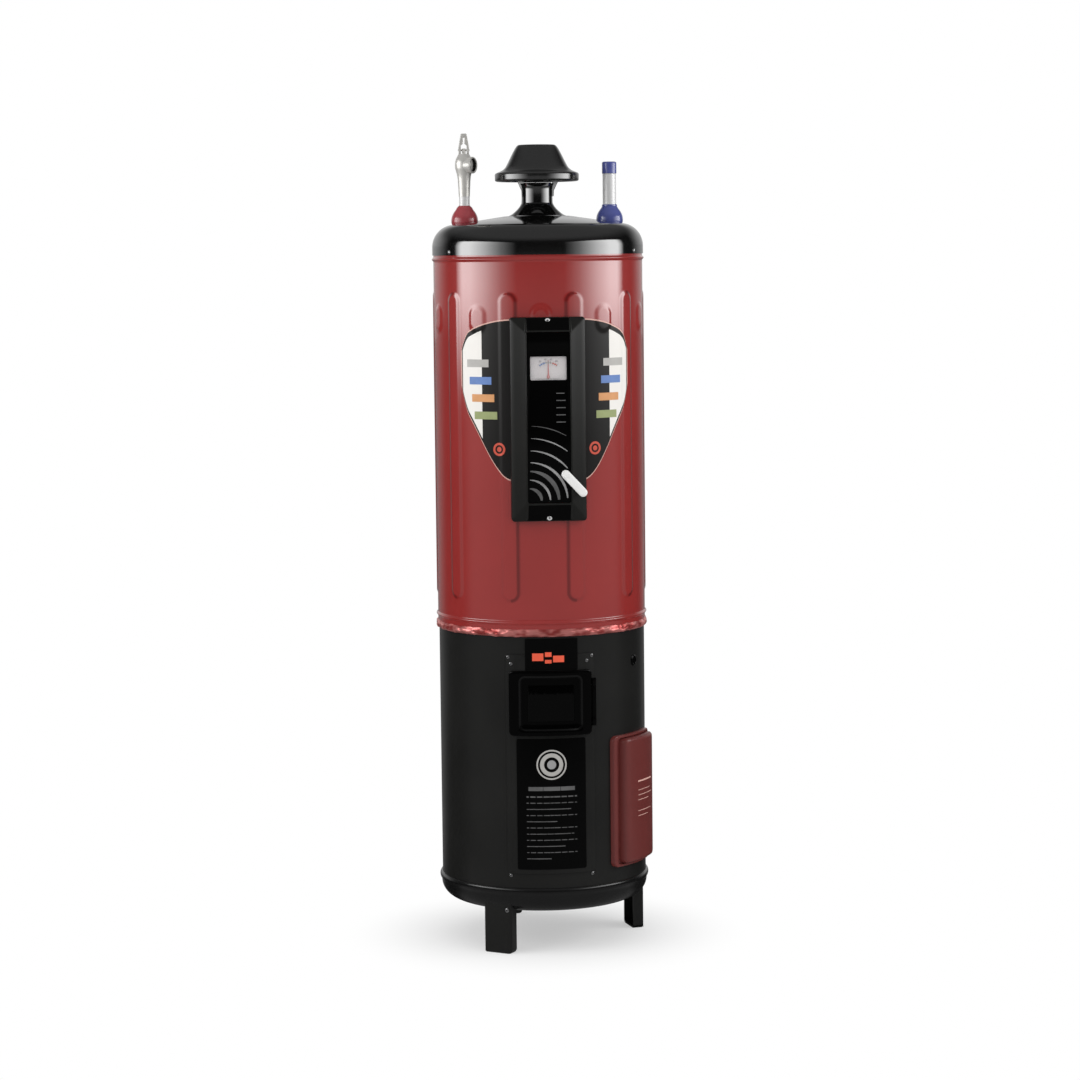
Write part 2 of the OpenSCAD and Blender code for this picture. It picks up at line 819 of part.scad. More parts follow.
// domed collar over a pipe hole of the cover
module collar(pipe_r) {
  difference() {
    translate([0, 0, collar_z]) rotate_extrude() polygon([
      [pipe_r + 0.1, 0], [collar_r, 0], [collar_r, collar_h*0.3], [collar_r - 0.8, collar_h*0.42],
      [collar_r - 3, collar_h*0.6], [collar_top_r + 1, collar_h*0.95], [collar_top_r, collar_h],
      [pipe_r + 0.1, collar_h]
    ]);
  }
}

module cold_collar() color([0.2, 0.22, 0.5]) {
  difference() {
    translate([pipe_offset, 0, 0]) collar(cold_r);
    cap_envelope();
  }
}

module hot_collar() color([0.6, 0.15, 0.15]) {
  difference() {
    translate([-pipe_offset, 0, 0]) collar(hot_r);
    cap_envelope();
  }
}

module cold_cap() color([0.2, 0.22, 0.5]) {
  translate([pipe_offset, 0, 0]) difference() {
    translate([0, 0, thread_z + 0.4]) cylinder(r = thread_r + run + cold_cap_t, h = thread_len + 1.5);
    translate([0, 0, thread_z - 1]) cylinder(r = thread_r + run, h = thread_len + 1.05);
  }
}

module dip_tube() color([0.85, 0.85, 0.8]) {
  translate([pipe_offset, 0, 0])
    tube(cold_in_r - fit, cold_in_r - fit - 1.5, tank_z + 50, socket_z + 10);
}

module hot_nipple() color(steel) {
  translate([-pipe_offset, 0, 0]) tube(hot_r, hot_in_r, socket_z - 22, relief_seat_z);
}

module relief_body() color([0.75, 0.75, 0.77]) {
  translate([-pipe_offset, 0, 0]) difference() {
    union() {
      rotate_extrude() polygon([
        [0, relief_low_z], [hot_r + 2.4, relief_low_z], [hot_r + 2.4, relief_low_z + 8],
        [relief_r, relief_low_z + 13], [relief_r, relief_top_z - 4], [relief_r - 2.5, relief_top_z],
        [0, relief_top_z]
      ]);
      bearing(port_turn) front_rod(port_r, 0, port_reach, 0, port_z);
      translate([0, 0, relief_top_z - 1]) cylinder(r = 4.5, h = lever_pin_z - relief_top_z + 7);
    }
    bearing(port_turn) front_rod(port_bore_r, port_reach - port_deep, port_reach + 10, 0, port_z);
    bearing(port_turn) front_rod(hot_in_r - 2, 0, port_reach, 0, port_z);
    translate([0, 0, relief_low_z - 1]) cylinder(r = hot_r + 0.1, h = relief_seat_z - relief_low_z + 1.1);
    translate([0, 0, relief_low_z]) cylinder(r = hot_in_r - 1, h = port_z - relief_low_z + 8);
    translate([-20, 0, lever_pin_z]) rotate([0, 90, 0]) cylinder(r = lever_pin_r, h = 40);
  }
}

module relief_pin() color(steel) {
  translate([-pipe_offset - 11.5, 0, lever_pin_z]) rotate([0, 90, 0]) cylinder(r = lever_pin_r, h = 23);
}

module relief_lever() color([0.75, 0.75, 0.77]) {
  low = lever_pin_z - 7;
  high = low + lever_h;
  translate([-pipe_offset, 0, 0]) difference() {
    translate([0, 5.5, 0]) rotate([90, 0, 0]) linear_extrude(11) difference() {
      polygon([[-10.5, low], [10.5, low], [10.5, low + 13], [6, high - 2], [4.5, high], [-4.5, high],
        [-6, high - 2], [-10.5, low + 13]]);
      polygon([[-6, low - 1], [6, low - 1], [6, low + 16], [1.6, low + 20], [1.6, high - 8],
        [-1.6, high - 8], [-1.6, low + 20], [-6, low + 16]]);
    }
    translate([-20, 0, lever_pin_z]) rotate([0, 90, 0]) cylinder(r = lever_pin_r + run, h = 40);
  }
}

module anode_rod() color(steel) {
  high = tank_top_z + 54;
  translate([0, anode_y, tank_z + 160]) cylinder(r = anode_r, h = high - tank_z - 159);
  translate([0, anode_y, high]) cylinder(r = anode_r + 6, h = 10, $fn = 6);
}

module drain_valve() color([0.7, 0.55, 0.25]) {
  translate([0, 0, drain_z]) rotate([-90, 0, 0]) difference() {
    union() {
      translate([0, 0, tank_r]) cylinder(r = drain_r, h = drain_y - tank_r + 1);
      translate([0, 0, drain_y]) cylinder(r = drain_body_r, h = drain_body_len);
      translate([0, 0, drain_y + drain_body_len - 1]) cylinder(r = tail_r, h = tail_len + 1);
    }
    translate([0, 0, tank_r - 10]) cylinder(r = tail_r - 3, h = 200);
  }
  translate([0, drain_y + drain_body_len/2, drain_z + drain_body_r - 2]) cylinder(r = 4, h = 12);
}

module drain_handle() color([0.5, 0.1, 0.1]) {
  translate([0, drain_y + drain_body_len/2, drain_z + drain_body_r + 1.5]) difference() {
    union() {
      cylinder(r = 8, h = 7);
      translate([0, -4, 2]) cube([handle_len - 4, 8, 4]);
      translate([handle_len - 4, 0, 2]) cylinder(r = 4, h = 4);
    }
    translate([0, 0, -1]) cylinder(r = 4 + run, h = 10);
  }
}

// block with sloping sides: o is the wall taken off, e the margin round the insert
module panel_block(o, e, y_back, y_front) {
  hull() {
    front_box(panel_w - 2*o, y_back, rim_in_y - o, panel_z + o, panel_top_z - o);
    front_box(insert_w + 2*e, y_back, y_front, insert_z - e, insert_z + insert_h + e);
  }
}

module panel_housing() color(black) {
  mid_z = insert_z + insert_h/2;
  difference() {
    panel_block(0, 1.5, jacket_r*0.8, panel_y);
    panel_block(panel_t, 3, jacket_r*0.7, insert_back_y - panel_t);
    translate([0, 0, panel_z - 5]) cylinder(r = jacket_r + fit, h = panel_h + 10);
    front_window(insert_w, insert_h, 4, mid_z, insert_back_y, panel_y + 5);
    front_window(insert_w - 5, insert_h - 5, 3, mid_z, jacket_r - 20, panel_y + 5);
    for (z = [panel_z + screw_in, panel_top_z - screw_in])
      front_rod(3, jacket_r, panel_y + 5, 0, z);
    for (z = [panel_z + screw_in, panel_top_z - screw_in])
      front_rod(6, rim_in_y - 1, panel_y + 5, 0, z);
  }
}

module panel_insert() color([0.02, 0.02, 0.02]) {
  difference() {
    front_window(insert_w - 2*fit, insert_h - 2*fit, 3.6, insert_z + insert_h/2, insert_back_y, insert_y);
    front_window(gauge_w, gauge_h, 3, gauge_z, jacket_r, panel_y + 5);
  }
}

module panel_screws() color(steel) {
  for (z = [panel_z + screw_in, panel_top_z - screw_in]) {
    front_rod(2.6, jacket_r + 0.1, rim_in_y, 0, z);
    front_rod(5, rim_in_y - 1, rim_in_y + 1.6, 0, z);
  }
}

module gauge_case() color(black) {
  difference() {
    front_box(gauge_w + 8, insert_back_y - gauge_deep, insert_back_y, gauge_z - gauge_h/2 - 4,
      gauge_z + gauge_h/2 + 4);
    front_box(gauge_w + 4, insert_back_y - gauge_deep + 3, insert_back_y + 1, gauge_z - gauge_h/2 - 2,
      gauge_z + gauge_h/2 + 2);
  }
}

module gauge_dial() color([0.8, 0.78, 0.78]) {
  front_box(gauge_w + 3.6, dial_y - 1.5, dial_y, gauge_z - gauge_h/2 - 1.8, gauge_z + gauge_h/2 + 1.8);
  front_rod(needle_pin_r, dial_y - 1, dial_y + 2.4, 0, pivot_z);
}

module gauge_needle() color([0.7, 0.1, 0.08]) {
  difference() {
    translate([0, -dial_y - 0.6, 0]) rotate([90, 0, 0]) linear_extrude(1) {
      translate([0, pivot_z]) circle(3);
      polygon([[-1.4, pivot_z - 4], [1.4, pivot_z - 4], [0.4, pivot_z + needle_len],
        [-0.4, pivot_z + needle_len]]);
    }
    front_rod(needle_pin_r + run, dial_y, dial_y + 5, 0, pivot_z);
  }
}

module gauge_lens() color([0.85, 0.9, 0.92, 0.4]) {
  front_window(gauge_w - 0.2, gauge_h - 0.2, 2.9, gauge_z, insert_y - 2, insert_y - 0.5);
}

module gauge_stem() color(steel) {
  front_rod(stem_r, tank_r + 0.1, insert_back_y - gauge_deep, 0, gauge_z);
}

module selector_pivot() color(black) {
  front_rod(selector_pin_r, insert_y, selector_y + selector_t + 0.4, selector_x, selector_z);
  front_rod(selector_pin_r + 1.5, selector_y + selector_t + 0.3, selector_y + selector_t + 1.8, selector_x,
    selector_z);
  front_rod(selector_pin_r + 2, panel_y + fit, selector_y - fit, selector_x, selector_z);
}

module selector_lever() color([0.95, 0.95, 0.95]) {
  translate([selector_x, 0, selector_z]) difference() {
    translate([0, -selector_y, 0]) rotate([90, 0, 0]) linear_extrude(selector_t) rotate(-selector_lean) {
      circle(selector_w/2);
      translate([0, -selector_w/2]) square([selector_len, selector_w]);
      translate([selector_len, 0]) circle(selector_w/2);
    }
    front_rod(selector_pin_r + run, selector_y - 5, selector_y + 20, 0, 0);
  }
}

module front_panel() color(black) {
  mid_z = (front_z + front_top_z)/2;
  difference() {
    curved_plate(front_in_r, front_r, front_w, front_top_z - front_z, 8, mid_z);
    front_window(way_w, way_h, 10, door_z, lower_r/2, front_r + 10);
  }
}

module instruction_plate() color([0.12, 0.12, 0.12]) {
  curved_plate(front_r + fit/2, front_r + fit/2 + plate_t, plate_w, plate_h, 4, plate_z + plate_h/2);
}

// pin with its two fixed end knuckles and their feet, around the given height
module hinge_fixed(pin_out, half, foot_r) {
  difference() {
    union() {
      for (s = [-1, 1])
        translate([0, -pin_out, s*(half + 0.4 + knuckle_len/2)]) {
          cylinder(r = knuckle_r, h = knuckle_len, center = true);
          translate([-2, 0, -knuckle_len/2]) cube([4, pin_out - foot_r + 2, knuckle_len]);
        }
      translate([0, -pin_out, -half - knuckle_len]) cylinder(r = pin_r, h = 2*(half + knuckle_len));
    }
    translate([0, 0, -half - 100]) cylinder(r = foot_r, h = 2*half + 200);
  }
}

module burner_door() color([0.02, 0.02, 0.02]) {
  difference() {
    union() {
      difference() {
        curved_plate(door_in_r, door_r, door_w, door_h, 8, door_z);
        front_window(glass_w + 22, glass_h + 24, 5, door_z, door_r*0.6, door_r + 10);
      }
      difference() {
        curved_plate(door_in_r, door_in_r + door_t*0.6, glass_w + 24, glass_h + 26, 5, door_z);
        front_window(glass_w, glass_h, 3, door_z, door_r*0.6, door_r + 10);
      }
      translate([door_pin_x, -door_pin_y, door_z])
        cylinder(r = knuckle_r, h = door_knuckle_len, center = true);
      translate([door_w/2 - 4, -door_pin_y - 2.2, door_z - door_knuckle_len/2])
        cube([door_pin_x - door_w/2 + 4, 3.4, door_knuckle_len]);
    }
    translate([door_pin_x, -door_pin_y, door_z - 100]) cylinder(r = pin_r + run, h = 200);
    translate([0, 0, door_z - door_h]) cylinder(r = door_in_r, h = 2*door_h);
  }
}

module sight_glass() color([0.1, 0.08, 0.07, 0.7]) {
  curved_plate(door_in_r + 0.1, door_in_r + 0.1 + glass_t, glass_w - 0.2, glass_h - 0.2, 2.9, door_z);
}

module door_hinge() color(steel) {
  translate([0, 0, door_z]) bearing(door_pin_turn)
    hinge_fixed(door_pin_r, door_knuckle_len/2, front_r + 0.02);
}

module cover_leaf(o, low) {
  curved_plate(low, cover_r - o, cover_w - 2*o, cover_h - 2*o, 12 - o, control_z);
}

module control_cover() color(red) {
  bearing(control_turn) difference() {
    union() {
      difference() {
        cover_leaf(0, cover_low_r);
        cover_leaf(cover_t, cover_low_r - 5);
      }
      translate([cover_pin_x, -cover_pin_y, control_z])
        cylinder(r = knuckle_r, h = cover_knuckle_len, center = true);
      translate([cover_w/2 - 2, -cover_pin_y - 2, control_z - cover_knuckle_len/2])
        cube([cover_pin_x - cover_w/2 + 2, 4, cover_knuckle_len]);
    }
    translate([cover_pin_x, -cover_pin_y, control_z - 100]) cylinder(r = pin_r + run, h = 200);
    translate([0, 0, control_z - cover_h]) cylinder(r = cover_low_r, h = 2*cover_h);
  }
}

module control_hinge() color(steel) {
  translate([0, 0, control_z]) bearing(cover_pin_turn)
    hinge_fixed(cover_pin_r, cover_knuckle_len/2, lower_r + 0.02);
}

module gas_valve() color([0.62, 0.62, 0.64]) {
  difference() {
    union() {
      bearing(control_turn) {
        front_box(valve_w, valve_back_y, valve_y, valve_z - valve_h/2, valve_top_z);
        translate([0, -elbow_y, elbow_z]) cylinder(r = elbow_r - 1, h = 20);
        front_rod(dial_r - 8, valve_y - 1, valve_y + 1.5, dial_x, valve_z + dial_up);
        front_rod(6, valve_y, valve_y + 2 + dial_h*0.7, dial_x, valve_z + dial_up);
        translate([0, -manifold_y, valve_top_z - 1]) cylinder(r = manifold_r + 4, h = 7);
      }
      translate([gas_x, gas_y, elbow_z]) sphere(elbow_r);
    }
    translate([gas_x, gas_y + 3, elbow_z]) rotate([-90, 0, 0]) cylinder(r = gas_r + 0.05, h = 60);
    bearing(control_turn) {
      front_rod(button_r + run, valve_y - 14, valve_y + 10, button_x, valve_z + button_up);
      translate([0, -manifold_y, valve_top_z - 4]) cylinder(r = manifold_r + 0.05, h = 20);
    }
  }
}

module thermostat_dial() color([0.1, 0.1, 0.1]) {
  bearing(control_turn) difference() {
    union() {
      front_rod(dial_r, valve_y + 2, valve_y + 6, dial_x, valve_z + dial_up);
      front_rod(dial_r - 3, valve_y + 5, valve_y + 2 + dial_h, dial_x, valve_z + dial_up);
    }
    front_rod(6 + run, valve_y, valve_y + 2 + dial_h*0.7 + 0.1, dial_x, valve_z + dial_up);
  }
}

module pilot_button() color([0.7, 0.1, 0.1]) {
  bearing(control_turn)
    front_rod(button_r, valve_y - 9.5, valve_y + button_travel + 3, button_x, valve_z + button_up);
}

module gas_inlet() color(steel) {
  translate([gas_x, 0, elbow_z]) rotate([-90, 0, 0]) difference() {
    union() {
      translate([0, 0, gas_y + 3]) cylinder(r = gas_r, h = gas_end_y - gas_y - 3);
      translate([0, 0, gas_end_y - 1]) cylinder(r = gas_thread_r, h = gas_thread_len + 1);
    }
    translate([0, 0, gas_y]) cylinder(r = gas_r - pipe_t, h = 600);
  }
}

module manifold() color(steel) {
  bend = 14;
  bearing(control_turn) translate([0, -manifold_y, 0]) {
    translate([0, 0, valve_top_z - 4]) cylinder(r = manifold_r, h = mix_z - bend - valve_top_z + 4);
    translate([0, bend, mix_z - bend]) rotate([0, -90, 0]) rotate([0, 0, -90])
      rotate_extrude(angle = 90) translate([bend, 0]) circle(manifold_r);
    translate([0, bend, mix_z]) rotate([-90, 0, 0])
      cylinder(r = manifold_r, h = manifold_y - bend - venturi_y + 6);
  }
}

module main_burner() color([0.25, 0.25, 0.26]) {
  difference() {
    union() {
      translate([0, 0, burner_z]) cylinder(r = burner_r, h = burner_h - 6);
      translate([0, 0, burner_z + burner_h - 7]) cylinder(r1 = burner_r, r2 = burner_r - 12, h = 7);
      bearing(control_turn) front_rod(venturi_r, burner_r - 14, venturi_y, 0, mix_z);
    }
    bearing(control_turn) front_rod(venturi_r - 2.5, burner_r - 4, venturi_y + 5, 0, mix_z);
    for (i = [0:23])
      bearing(i*15) front_rod(2.5, burner_r - 34, burner_r - 20, 0, burner_z + burner_h);
    translate([0, 0, burner_z + burner_h - 5]) tube(36, 24, 0, 10);
  }
}

module burner_bracket() color(steel) {
  for (s = [-1, 1])
    translate([s*bracket_x - bracket_t/2, -bracket_w/2, floor_z])
      cube([bracket_t, bracket_w, burner_z - floor_z]);
  translate([-bracket_x - bracket_t/2, -bracket_w/2, burner_z - bracket_t])
    cube([2*bracket_x + bracket_t, bracket_w, bracket_t]);
  for (s = [-1, 1])
    translate([s*(bracket_x + (bracket_foot - bracket_t)/2) - bracket_foot/2, -bracket_w/2, floor_z])
      cube([bracket_foot, bracket_w, bracket_t]);
}

function at(turn, out, z) = [out*sin(turn), -out*cos(turn), z];
function at_valve(x, out, z) =
  [x*cos(control_turn) + out*sin(control_turn), x*sin(control_turn) - out*cos(control_turn), z];

// line that leaves the back of the valve square, then runs straight to a point
module valve_line(x, z, end, r) {
  bend = at_valve(x, valve_back_y - 3*r, z);
  rod(at_valve(x, valve_back_y - 0.05, z), bend, r);
  translate(bend) sphere(1.2*r);
  rod(bend, end, r);
}

module pilot_burner() color([0.6, 0.4, 0.25]) {
  base = at(pilot_turn, pilot_out, burner_z + 9);
  difference() {
    union() {
      translate(base - [0, 0, 5]) cylinder(r = 5, h = 26);
      bearing((pilot_turn + couple_turn)/2)
        front_box(40, burner_r + 0.1, burner_r + 28, burner_z + 2, burner_z + 5);
      valve_line(20, valve_z + 30, base, 2.5);
    }
    translate([0, 0, burner_z - 5]) cylinder(r = burner_r + 0.1, h = 40);
    translate(at(couple_turn, couple_out, burner_z)) cylinder(r = 3.2, h = 20);
  }
}

module thermocouple() color([0.65, 0.45, 0.3]) {
  low = at(couple_turn, couple_out, burner_z - 8);
  translate(low) cylinder(r = 3, h = 46);
  translate(low) sphere(3);
  valve_line(-20, valve_z + 22, low, 1.5);
}

module thermostat_probe() color([0.7, 0.45, 0.3]) {
  translate(at_valve(bulb_x, bulb_y, valve_top_z + 0.1))
    cylinder(r = capillary_r, h = bulb_z - valve_top_z + 1);
  translate(at_valve(bulb_x, bulb_y, bulb_z)) cylinder(r = bulb_r, h = bulb_len);
}

base_pan();
leg_1();
leg_2();
leg_3();
leg_screws();
lower_jacket();
joint_trim();
upper_jacket();
top_cover();
cover_screws();
support_skirt();
tank();
insulation();
flue_tube();
flue_baffle();
flue_neck();
draft_hood();
hood_struts();
cold_nipple();
cold_collar();
cold_cap();
dip_tube();
hot_nipple();
hot_collar();
relief_body();
relief_pin();
relief_lever();
anode_rod();
drain_valve();
drain_handle();
panel_housing();
panel_insert();
panel_screws();
gauge_case();
gauge_dial();
gauge_needle();
gauge_lens();
gauge_stem();
selector_pivot();
selector_lever();
front_panel();
burner_door();
sight_glass();
door_hinge();
instruction_plate();
control_cover();
control_hinge();
gas_valve();
thermostat_dial();
pilot_button();
gas_inlet();
manifold();
main_burner();
burner_bracket();
pilot_burner();
thermocouple();
thermostat_probe();
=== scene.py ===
"""Looks of a floor-standing gas storage water heater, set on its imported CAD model.

The frame is in metres, Z up, with the front towards -Y. Shapes are worked out in millimetres in the same
frame, and piece() turns them into metres. A bearing is an angle in degrees from the front, positive
towards +X.
"""
import json
from math import atan2, cos, degrees, hypot, pi, radians, sin, sqrt, tan

import bmesh
import bpy
from mathutils import Matrix, Vector, noise


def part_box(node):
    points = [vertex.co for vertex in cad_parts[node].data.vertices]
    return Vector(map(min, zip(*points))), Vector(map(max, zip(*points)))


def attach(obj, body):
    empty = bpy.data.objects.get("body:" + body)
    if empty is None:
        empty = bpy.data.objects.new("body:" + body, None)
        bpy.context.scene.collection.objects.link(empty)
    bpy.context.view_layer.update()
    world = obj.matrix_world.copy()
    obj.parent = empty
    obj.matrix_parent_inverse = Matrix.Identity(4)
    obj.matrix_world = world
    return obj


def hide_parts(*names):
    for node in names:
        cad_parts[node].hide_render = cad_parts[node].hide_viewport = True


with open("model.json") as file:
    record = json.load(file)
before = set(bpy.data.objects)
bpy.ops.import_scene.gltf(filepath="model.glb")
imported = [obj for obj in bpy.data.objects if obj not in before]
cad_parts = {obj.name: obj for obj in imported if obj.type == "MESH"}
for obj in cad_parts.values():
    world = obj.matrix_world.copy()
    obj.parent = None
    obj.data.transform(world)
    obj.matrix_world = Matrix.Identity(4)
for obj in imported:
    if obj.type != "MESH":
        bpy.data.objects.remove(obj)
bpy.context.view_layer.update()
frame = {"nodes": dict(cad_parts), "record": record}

MM = 0.001
ROOT = "heater"
NODES = frame["nodes"]
FRONT = Vector((0, -1, 0))


# ---- where CAD nodes are at rest, in millimetres

def span(node):
    """Lowest and highest corner of a node."""
    lo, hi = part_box(node)
    return lo / MM, hi / MM


def middle(node):
    lo, hi = span(node)
    return (lo + hi) / 2


def heights(node):
    lo, hi = span(node)
    return lo.z, hi.z


def breadth(node):
    lo, hi = span(node)
    return hi.x - lo.x


def right_of(node):
    return span(node)[1].x


def front_of(node):
    return -span(node)[0].y


# ---- lines, in millimetres

def rounded(corners, closed=True, steps=5):
    """Points of a line whose corners, given as (a, b, radius), are rounded."""
    points, count = [], len(corners)
    for i, (a, b, *radius) in enumerate(corners):
        here = Vector((a, b))
        if not radius or not radius[0] or (not closed and i in (0, count - 1)):
            points.append((a, b))
            continue
        before = Vector(corners[i - 1][:2]) - here
        after = Vector(corners[(i + 1) % count][:2]) - here
        half = before.angle(after) / 2
        reach = min(radius[0] / tan(half), 0.49 * before.length, 0.49 * after.length)
        r = reach * tan(half)
        hub = here + (before.normalized() + after.normalized()).normalized() * (r / sin(half))
        start = here + before.normalized() * reach - hub
        end = here + after.normalized() * reach - hub
        first = atan2(start.y, start.x)
        sweep = (atan2(end.y, end.x) - first + pi) % (2 * pi) - pi
        for k in range(steps + 1):
            t = first + sweep * k / steps
            points.append((hub.x + r * cos(t), hub.y + r * sin(t)))
    return points


def arc(a, b, r, first, last, steps=10):
    """Points of a circle about (a, b), from one angle to another, in degrees."""
    turn = [radians(first + (last - first) * k / steps) for k in range(steps + 1)]
    return [(a + r * cos(t), b + r * sin(t)) for t in turn]


def smooth(points, steps=6):
    """A curve through the points of an open line (Catmull-Rom)."""
    p = [Vector(q) for q in (points[0], *points, points[-1])]
    out = []
    for i in range(1, len(p) - 2):
        for k in range(steps):
            t = k / steps
            out.append(tuple(0.5 * (2 * p[i] + (p[i + 1] - p[i - 1]) * t
                                    + (2 * p[i - 1] - 5 * p[i] + 4 * p[i + 1] - p[i + 2]) * t * t
                                    + (3 * p[i] - p[i - 1] - 3 * p[i + 1] + p[i + 2]) * t ** 3)))
    return out + [tuple(points[-1])]


def raised(points, z):
    """The same (radius, height) points, counted from a height."""
    return [(r, z + up) for r, up in points]


def outline(w, h, r, across=26, steps=6):
    """Rounded rectangle: its upper half from left to right, then its lower half back."""
    r = min(r, w / 2 - 0.02, h / 2 - 0.02)
    half = [(-w / 2 + r + p, h / 2 - r + q) for p, q in arc(0, 0, r, 180, 90, steps)]
    half += [(-w / 2 + r + (w - 2 * r) * k / across, h / 2) for k in range(1, across)]
    half += [(w / 2 - r + p, h / 2 - r + q) for p, q in arc(0, 0, r, 90, 0, steps)]
    return half + [(x, -z) for x, z in reversed(half)]


def steps_between(a, b, count):
    return [a + (b - a) * k / count for k in range(count + 1)]


def ease(t):
    t = min(max(t, 0.0), 1.0)
    return t * t * (3 - 2 * t)


# ---- shapes: their corners and faces

def quads(rows, columns, round_rows=False, round_columns=False):
    """Faces of a net of points numbered row by row, which may close on itself either way."""
    faces = []
    for i in range(rows if round_rows else rows - 1):
        a, b = i * columns, (i + 1) % rows * columns
        for j in range(columns if round_columns else columns - 1):
            k = (j + 1) % columns
            faces.append((a + j, a + k, b + k, b + j))
    return faces


def lathe(profile, x=0.0, y=0.0, turns=96, wobble=None):
    """A closed profile of (radius, height) points turned about an upright axis."""
    verts = []
    for k in range(turns):
        t = 2 * pi * k / turns
        for r, z in profile:
            if wobble:
                r, z = wobble(r, z, t)
            verts.append((x + r * sin(t), y - r * cos(t), z))
    return verts, quads(turns, len(profile), True, True)


def flat(x, z, out):
    return x, -out, z


def bent(x, z, out):
    return x, -sqrt(out * out - x * x), z


def loft(levels, place, capped=True, x=0.0, z=0.0, across=26):
    """A skin through rounded rectangles (width, height, corner radius, how far out, shift up, shift right)."""
    verts = []
    for w, h, r, out, *shift in levels:
        up, right = (shift + [0.0, 0.0])[:2]
        verts += [place(x + right + p, z + up + q, out) for p, q in outline(w, h, r, across)]
    n = len(verts) // len(levels)
    faces = quads(len(levels), n, False, True)
    for start in (0, len(verts) - n) if capped else ():
        faces += [(start + k, start + k + 1, start + n - 2 - k, start + n - 1 - k) for k in range(n // 2 - 1)]
    return verts, faces


def grown(w, h, out, rows):
    """Levels of a loft about a rectangle w by h that is out: (larger by, corner radius, further out, shifts)."""
    return [(w + d, h + d, r, out + more, *shift) for d, r, more, *shift in rows]


def patch(columns, low, high, place, rows=1):
    """A thin print: columns across, each from low(u) to high(u), laid down by place(u, v)."""
    verts = []
    for u in columns:
        verts += [place(u, low(u) + (high(u) - low(u)) * k / rows) for k in range(rows + 1)]
    return verts, quads(len(columns), rows + 1)


def ribbon(line, wide, place):
    """A thin print along a line of (u, v) points, as wide as wide(t) for t from 0 to 1."""
    verts, last = [], len(line) - 1
    for i, (u, v) in enumerate(line):
        p, q = Vector(line[max(i - 1, 0)]), Vector(line[min(i + 1, last)])
        side = Vector((p.y - q.y, q.x - p.x)).normalized() * wide(i / last) / 2
        verts += [place(u + side.x, v + side.y), place(u - side.x, v - side.y)]
    return verts, quads(len(line), 2)


def disc(u, v, r, place, inner=0.01, stretch=1.0, turns=40):
    """A thin round print, or a ring where inner isn't small."""
    verts = []
    for k in range(turns):
        t = 2 * pi * k / turns
        verts += [place(u + q * stretch * cos(t), v + q * sin(t)) for q in (inner, r)]
    return verts, quads(turns, 2, True)


def onto(place, out, bearing=0.0):
    """Lays the points of a print on a surface that is out from the axis, turned to a bearing."""
    turn = Matrix.Rotation(radians(bearing), 3, "Z")
    return lambda x, z: tuple(turn @ Vector(place(x, z, out)))


def moved(shape, matrix):
    return [tuple(matrix @ Vector(v)) for v in shape[0]], shape[1]


def at_bearing(shape, bearing):
    return moved(shape, Matrix.Rotation(radians(bearing), 4, "Z"))


def joined(*shapes):
    verts, faces = [], []
    for v, f in shapes:
        faces += [tuple(i + len(verts) for i in face) for face in f]
        verts += v
    return verts, faces


def facing(direction, at):
    """Stands a lathe's +Z along a direction, with its origin at a point."""
    turn = Vector((0, 0, 1)).rotation_difference(Vector(direction)).to_matrix().to_4x4()
    return Matrix.Translation(at) @ turn


def radial(bearing):
    """Level direction of a bearing."""
    t = radians(bearing)
    return Vector((sin(t), -cos(t), 0))


def point(bearing, out, z):
    return radial(bearing) * out + Vector((0, 0, z))


def piece(name, shape, look, body=ROOT, nodes=(), sharp=38.0, sheet=None):
    """A new object from a shape in millimetres, riding on a body. sheet is an open print's outward side."""
    mesh = bpy.data.meshes.new(name)
    mesh.from_pydata([(x * MM, y * MM, z * MM) for x, y, z in shape[0]], [], shape[1])
    b = bmesh.new()
    b.from_mesh(mesh)
    if sheet is None:
        bmesh.ops.recalc_face_normals(b, faces=b.faces)
    else:
        b.normal_update()
        bmesh.ops.reverse_faces(b, faces=[f for f in b.faces if f.normal.dot(sheet) < 0])
    b.to_mesh(mesh)
    b.free()
    mesh.polygons.foreach_set("use_smooth", [True] * len(mesh.polygons))
    mesh.set_sharp_from_angle(angle=radians(sharp))
    mesh.materials.append(FINISH[look])
    obj = bpy.data.objects.new(name, mesh)
    bpy.context.scene.collection.objects.link(obj)
    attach(obj, body)
    if nodes:
        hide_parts(*nodes)
    return obj


# ---- finishes

def srgb(r, g, b):
    """Scene colour of a colour given as it shows on a screen, 0 to 255."""
    return tuple(c / 255 / 12.92 if c < 11 else ((c / 255 + 0.055) / 1.055) ** 2.4
                 for c in (r, g, b)) + (1.0,)


